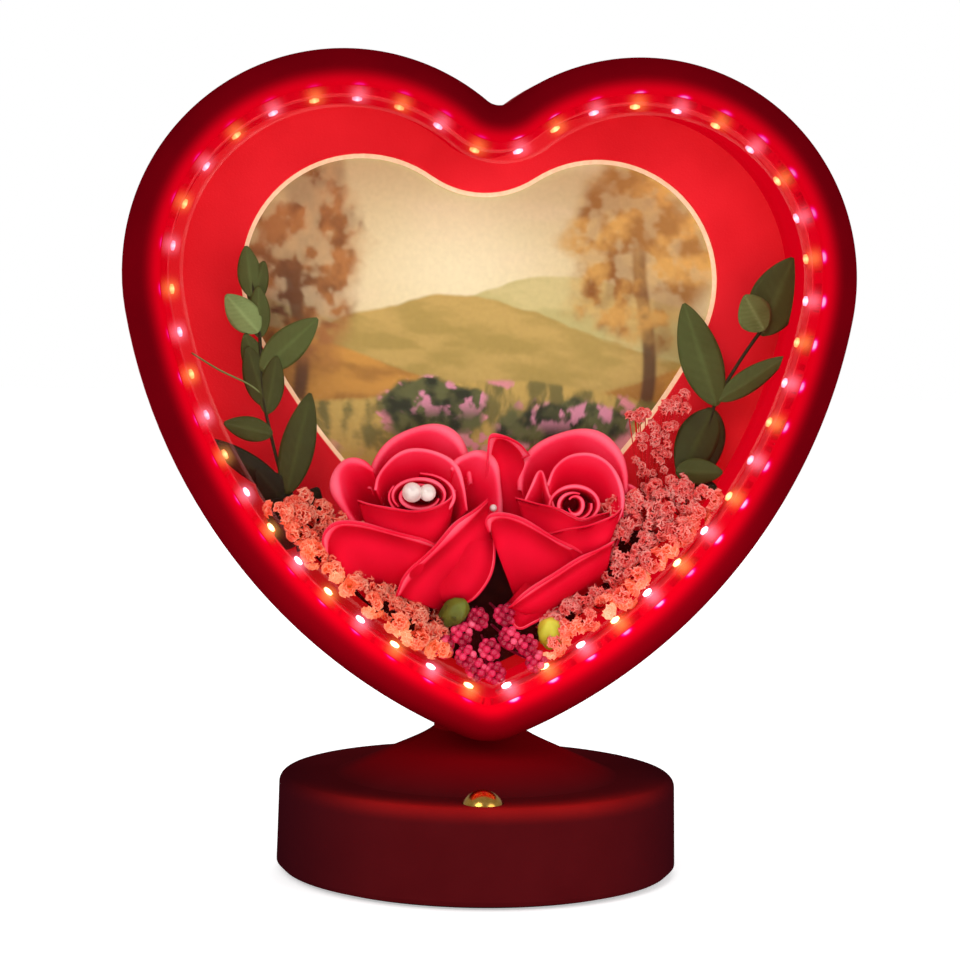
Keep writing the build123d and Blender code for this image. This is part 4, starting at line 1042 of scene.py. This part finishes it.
def picture():
    # Rings of points from the middle to the rim, and a last one for the back of the sheet
    overlap, thick = 5.0, 0.3
    rim = heart_loop(MAT, -overlap, (40, 120, 70, 10))
    centre = np.array([0.0, 158.0])
    rings = np.append(np.linspace(0.004, 1.0, 150), 1.0)
    flat = centre + rings[:, None, None] * (rim - centre)
    depth = np.full(flat.shape[:2], PRINT_Y)
    depth[-1] = PRINT_Y + thick
    rows, columns = depth.shape
    faces = grid_faces(rows, columns, wrap_columns=True)
    faces.append(tuple(range(columns)))
    faces.append(tuple((rows - 1) * columns + k for k in range(columns - 1, -1, -1)))
    shape = Shape()
    shape.add(np.stack([flat[..., 0], depth, flat[..., 1]], -1), faces)
    look = Finish("picture_print", rough=0.38, shine=0.25)
    paint = look.node("ShaderNodeVertexColor", layer_name="paint").outputs["Color"]
    grain = look.ramp(look.noise(900.0), [(0.3, (0.93, 0.93, 0.93, 1.0)), (0.7, WHITE)])
    colour = look.blend(1.0, paint, grain, "MULTIPLY")
    look.colour(colour)
    # Painted light: the print gives off a little of its own colour
    look.glow(colour, 0.04)
    thing = shape.piece("picture_sheet", [look.material], "photo_print", "print", flat=True)
    colours = np.ones((shape.count, 4))
    colours[:, :3] = valley(flat[..., 0].reshape(-1), flat[..., 1].reshape(-1))
    layer = thing.data.color_attributes.new("paint", "FLOAT_COLOR", "POINT")
    layer.data.foreach_set("color", colours.reshape(-1))


def button():
    # Gold push button: a domed cap on a stem
    reach, turn = 46.8, math.radians(5.0)
    radius, dome, stem = 5.4, 3.6, 2.0
    low = BASE_HIGH - 6.8
    skirt = BASE_HIGH - 1.3
    profile = [(0.0, low), (stem, low), (stem, skirt), (radius - 0.5, skirt + 0.05)]
    profile += [(radius - 0.05, skirt + 0.3), (radius, BASE_HIGH - 0.1)]
    arc = (radius**2 + dome**2) / (2 * dome)
    for a in np.linspace(math.asin((arc - dome) / arc) + 0.02, math.pi / 2, 14):
        profile.append((arc * math.cos(a), BASE_HIGH + dome - arc + arc * math.sin(a)))
    shape = Shape()
    shape.add(*lathe(profile, 48, (-reach * math.sin(turn), -reach * math.cos(turn), 0.0)))
    look = Finish("polished_gold", rough=0.2, shine=0.5, metal=1.0)
    look.colour(look.mottle(900.0, (206, 150, 62), (232, 184, 92)))
    look.bump(2500.0, 0.02)
    shape.piece("button_dome", [look.material], "power_button", "gold", body="button")


# Finishes of the construction nodes that stay in view or inside


def shell_finish():
    # Glossy red with a pale line where the two halves meet, a painted highlight along the seam
    look = Finish("shell_red", rough=0.4, shine=0.04)
    seam = look.span(look.axis("Y"), SEAM_Y + 0.9, SEAM_Y + 0.6)
    # Painted highlight: pale tones along the seam
    pale = look.mottle(500.0, (150, 44, 48), (172, 64, 66))
    look.colour(look.blend(seam, look.mottle(60.0, (80, 1, 9), (85, 2, 10)), pale))
    look.bump(900.0, 0.06)
    return look.material


def base_finish():
    # Satin wine red with painted shade at the sides and painted red light from the heart on the front of the
    # edge and the neck
    look = Finish("base_red", rough=0.55, shine=0.0)
    across, deep, high = look.axis("X"), look.axis("Y"), look.axis("Z")
    squares = look.calc("ADD", look.calc("MULTIPLY", across, across), look.calc("MULTIPLY", deep, deep))
    reach = look.calc("SQRT", squares)
    # Painted red light from the heart on the front of the top edge
    rim = look.span(reach, BASE_RADIUS - 13.0, BASE_RADIUS - 2.5)
    rise = look.span(high, BASE_HIGH - 4.5, BASE_HIGH - 0.3)
    edge = look.calc("MULTIPLY", look.calc("POWER", rim, 2.0), look.calc("POWER", rise, 1.6))
    edge_red_light = look.calc("MULTIPLY", edge, look.span(deep, -8.0, -50.0))
    base = look.mottle(70.0, (72, 11, 15), (77, 13, 17), 5.0)
    colour = look.blend(edge_red_light, base, look.mottle(40.0, (132, 16, 18), (150, 22, 22)))
    # Painted shade: darker towards the sides
    side = look.span(look.calc("ABSOLUTE", across), 24.0, 58.0)
    colour = look.blend(look.calc("POWER", side, 1.5), colour, linear(42, 8, 14))
    # Painted red light from the heart on the front of the neck
    neck = look.span(high, BASE_HIGH + 0.2, BASE_HIGH + 7.0)
    front = look.span(deep, 12.0, -4.0)
    look.colour(look.blend(look.calc("MULTIPLY", neck, front), colour, linear(122, 4, 12)))
    look.bump(1100.0, 0.05)
    return look.material


def card_finish(name, scale, detail, dark, light, glow, strength, grain):
    look = Finish(name, rough=0.7, shine=0.1)
    look.colour(look.mottle(scale, dark, light, detail))
    # Painted light: the card gives off the glow colour, as light from the lights falling on it
    look.glow(linear(*glow), strength)
    look.bump(1800.0, grain)
    return look.material


def inner_finishes():
    # Rows of name, dark and light tone, scale of the mottle, roughness, shine, metal, grain and nodes
    screws = ["heart_screws", "plate_screws", "hinge_pin", "neck_tube", "neck_nut_top", "neck_nut_bottom"]
    steel = screws + ["button_clip", "contact_plates"]
    cells = ["battery_cell_1", "battery_cell_2", "battery_cell_3"]
    magnets = ["door_magnets", "frame_magnets"]
    covers = ["base_plate", "battery_door"]
    switch = ["push_switch", "switch_plunger"]
    rows = [
        ("strip_pink", (222, 30, 44), (240, 60, 70), 500.0, 0.5, 0.05, 0.0, 0.15, ["led_strip"]),
        ("foam_moss", (44, 12, 12), (66, 22, 16), 300.0, 0.9, 0.05, 0.0, 0.6, ["flower_foam"]),
        ("steel_bright", (150, 150, 154), (190, 190, 194), 500.0, 0.3, 0.5, 1.0, 0.05, steel),
        ("magnet_nickel", (120, 122, 126), (156, 158, 162), 500.0, 0.25, 0.5, 1.0, 0.04, magnets),
        ("pad_foam", (34, 34, 36), (56, 56, 58), 900.0, 0.95, 0.05, 0.0, 0.5, ["door_pads"]),
        ("board_grey", (120, 108, 92), (150, 138, 118), 600.0, 0.85, 0.1, 0.0, 0.3, ["back_board"]),
        ("wire_red", (180, 16, 22), (206, 26, 32), 900.0, 0.5, 0.1, 0.0, 0.15, ["lead_wires"]),
        ("plate_black", (22, 22, 24), (38, 38, 40), 1400.0, 0.6, 0.2, 0.0, 0.3, covers),
        ("foot_rubber", (18, 18, 18), (34, 34, 34), 1200.0, 0.9, 0.08, 0.0, 0.4, ["foot_ring"]),
        ("cell_sleeve", (66, 70, 78), (96, 100, 108), 300.0, 0.35, 0.4, 0.0, 0.15, cells),
        ("circuit_green", (16, 70, 36), (28, 96, 50), 700.0, 0.45, 0.3, 0.0, 0.15, ["control_board"]),
        ("switch_grey", (60, 60, 64), (86, 86, 90), 900.0, 0.5, 0.3, 0.0, 0.15, switch),
        ("ballast_iron", (70, 68, 66), (104, 102, 100), 400.0, 0.45, 0.4, 1.0, 0.2, ["ballast_plate"]),
    ]
    for *values, names in rows:
        dress(plain(*values), *names)


def finishes():
    dress(shell_finish(), "rear_shell", "rear_door")
    dress(base_finish(), "base_shell")
    # Both cards get a painted glow standing in for the light of the lights
    red = card_finish("mat_red", 45.0, 6.0, (214, 22, 34), (232, 34, 46), (226, 24, 34), 0.12, 0.25)
    dress(red, "mat_card")
    dark, light, glow = (232, 206, 166), (250, 228, 190), (250, 214, 160)
    dress(card_finish("liner_cream", 700.0, 4.0, dark, light, glow, 0.22, 0.15), "mat_liner")
    inner_finishes()


# Floor, light and camera


def floor():
    # Pale sheet that can be looked through from below
    side = 8.0
    mesh = bpy.data.meshes.new("floor")
    corners = [(-side, -side, 0), (side, -side, 0), (side, side, 0), (-side, side, 0)]
    mesh.from_pydata(corners, [], [(0, 1, 2, 3)])
    thing = bpy.data.objects.new("floor", mesh)
    bpy.context.scene.collection.objects.link(thing)
    look = Finish("floor_pale", rough=0.9, shine=0.05)
    look.colour(look.ramp(look.noise(3.0), [(0.3, (0.90, 0.90, 0.90, 1.0)), (0.7, (0.93, 0.93, 0.93, 1.0))]))
    look.glow(WHITE, 0.46)
    both = look.node("ShaderNodeMixShader")
    look.put(look.node("ShaderNodeNewGeometry").outputs["Backfacing"], both.inputs[0])
    look.put(look.main.outputs[0], both.inputs[1])
    look.put(look.node("ShaderNodeBsdfTransparent").outputs[0], both.inputs[2])
    look.put(both.outputs[0], look.tree.nodes["Material Output"].inputs["Surface"])
    mesh.materials.append(look.material)


def area_light(name, spot, power):
    # Round lamp that looks at the middle of the part, places in metres
    target = Vector((0.0, 0.0, 0.12))
    data = bpy.data.lights.new(name, "AREA")
    data.shape = "DISK"
    data.size = 0.9
    data.energy = power
    thing = bpy.data.objects.new(name, data)
    thing.location = spot
    thing.rotation_euler = (target - Vector(spot)).to_track_quat("-Z", "Y").to_euler()
    bpy.context.scene.collection.objects.link(thing)


def world():
    # White to the eye, weaker as a light and weaker still in reflections
    made = bpy.data.worlds.new("studio")
    bpy.context.scene.world = made
    made.use_nodes = True
    tree = made.node_tree
    path = tree.nodes.new("ShaderNodeLightPath")
    shown = tree.nodes["Background"]
    shown.inputs["Color"].default_value = WHITE
    shown.inputs["Strength"].default_value = 0.62
    for ray, strength in (("Is Glossy Ray", 0.3), ("Is Camera Ray", 1.0)):
        back = tree.nodes.new("ShaderNodeBackground")
        back.inputs["Color"].default_value = WHITE
        back.inputs["Strength"].default_value = strength
        both = tree.nodes.new("ShaderNodeMixShader")
        tree.links.new(path.outputs[ray], both.inputs[0])
        tree.links.new(shown.outputs[0], both.inputs[1])
        tree.links.new(back.outputs[0], both.inputs[2])
        shown = both
    tree.links.new(shown.outputs[0], tree.nodes["World Output"].inputs["Surface"])


def camera():
    turn, rise, roll = math.radians(-7.0), math.radians(3.0), math.radians(0.93)
    target = Vector((-0.45, 0.0, 109.25)) * MM
    distance = 667.0 * MM
    focal_px, width_px, sensor = 2381.0, 960.0, 36.0
    back = Vector((math.sin(turn) * math.cos(rise), -math.cos(turn) * math.cos(rise), math.sin(rise)))
    right = Vector((math.cos(turn), math.sin(turn), 0.0))
    up = back.cross(right)
    across = right * math.cos(roll) + up * math.sin(roll)
    above = up * math.cos(roll) - right * math.sin(roll)
    data = bpy.data.cameras.new("camera")
    data.sensor_width = sensor
    data.lens = sensor * focal_px / width_px
    data.clip_start = 0.05
    thing = bpy.data.objects.new("camera", data)
    spot = target + back * distance
    rows = [(across[i], above[i], back[i], spot[i]) for i in range(3)]
    thing.matrix_world = Matrix(rows + [(0.0, 0.0, 0.0, 1.0)])
    bpy.context.scene.collection.objects.link(thing)
    bpy.context.scene.camera = thing


bezel()
window()
lights()
roses()
pearl_shapes()
sprigs()
fillers()
bud_shapes()
berry_shapes()
picture()
button()
finishes()
floor()
world()
area_light("key", (-0.7, -1.1, 1.0), 9.0)
area_light("fill", (0.9, -0.9, 0.6), 4.0)
area_light("rear", (0.3, 1.2, 1.0), 6.0)
camera()
bpy.context.scene.view_settings.view_transform = "Standard"
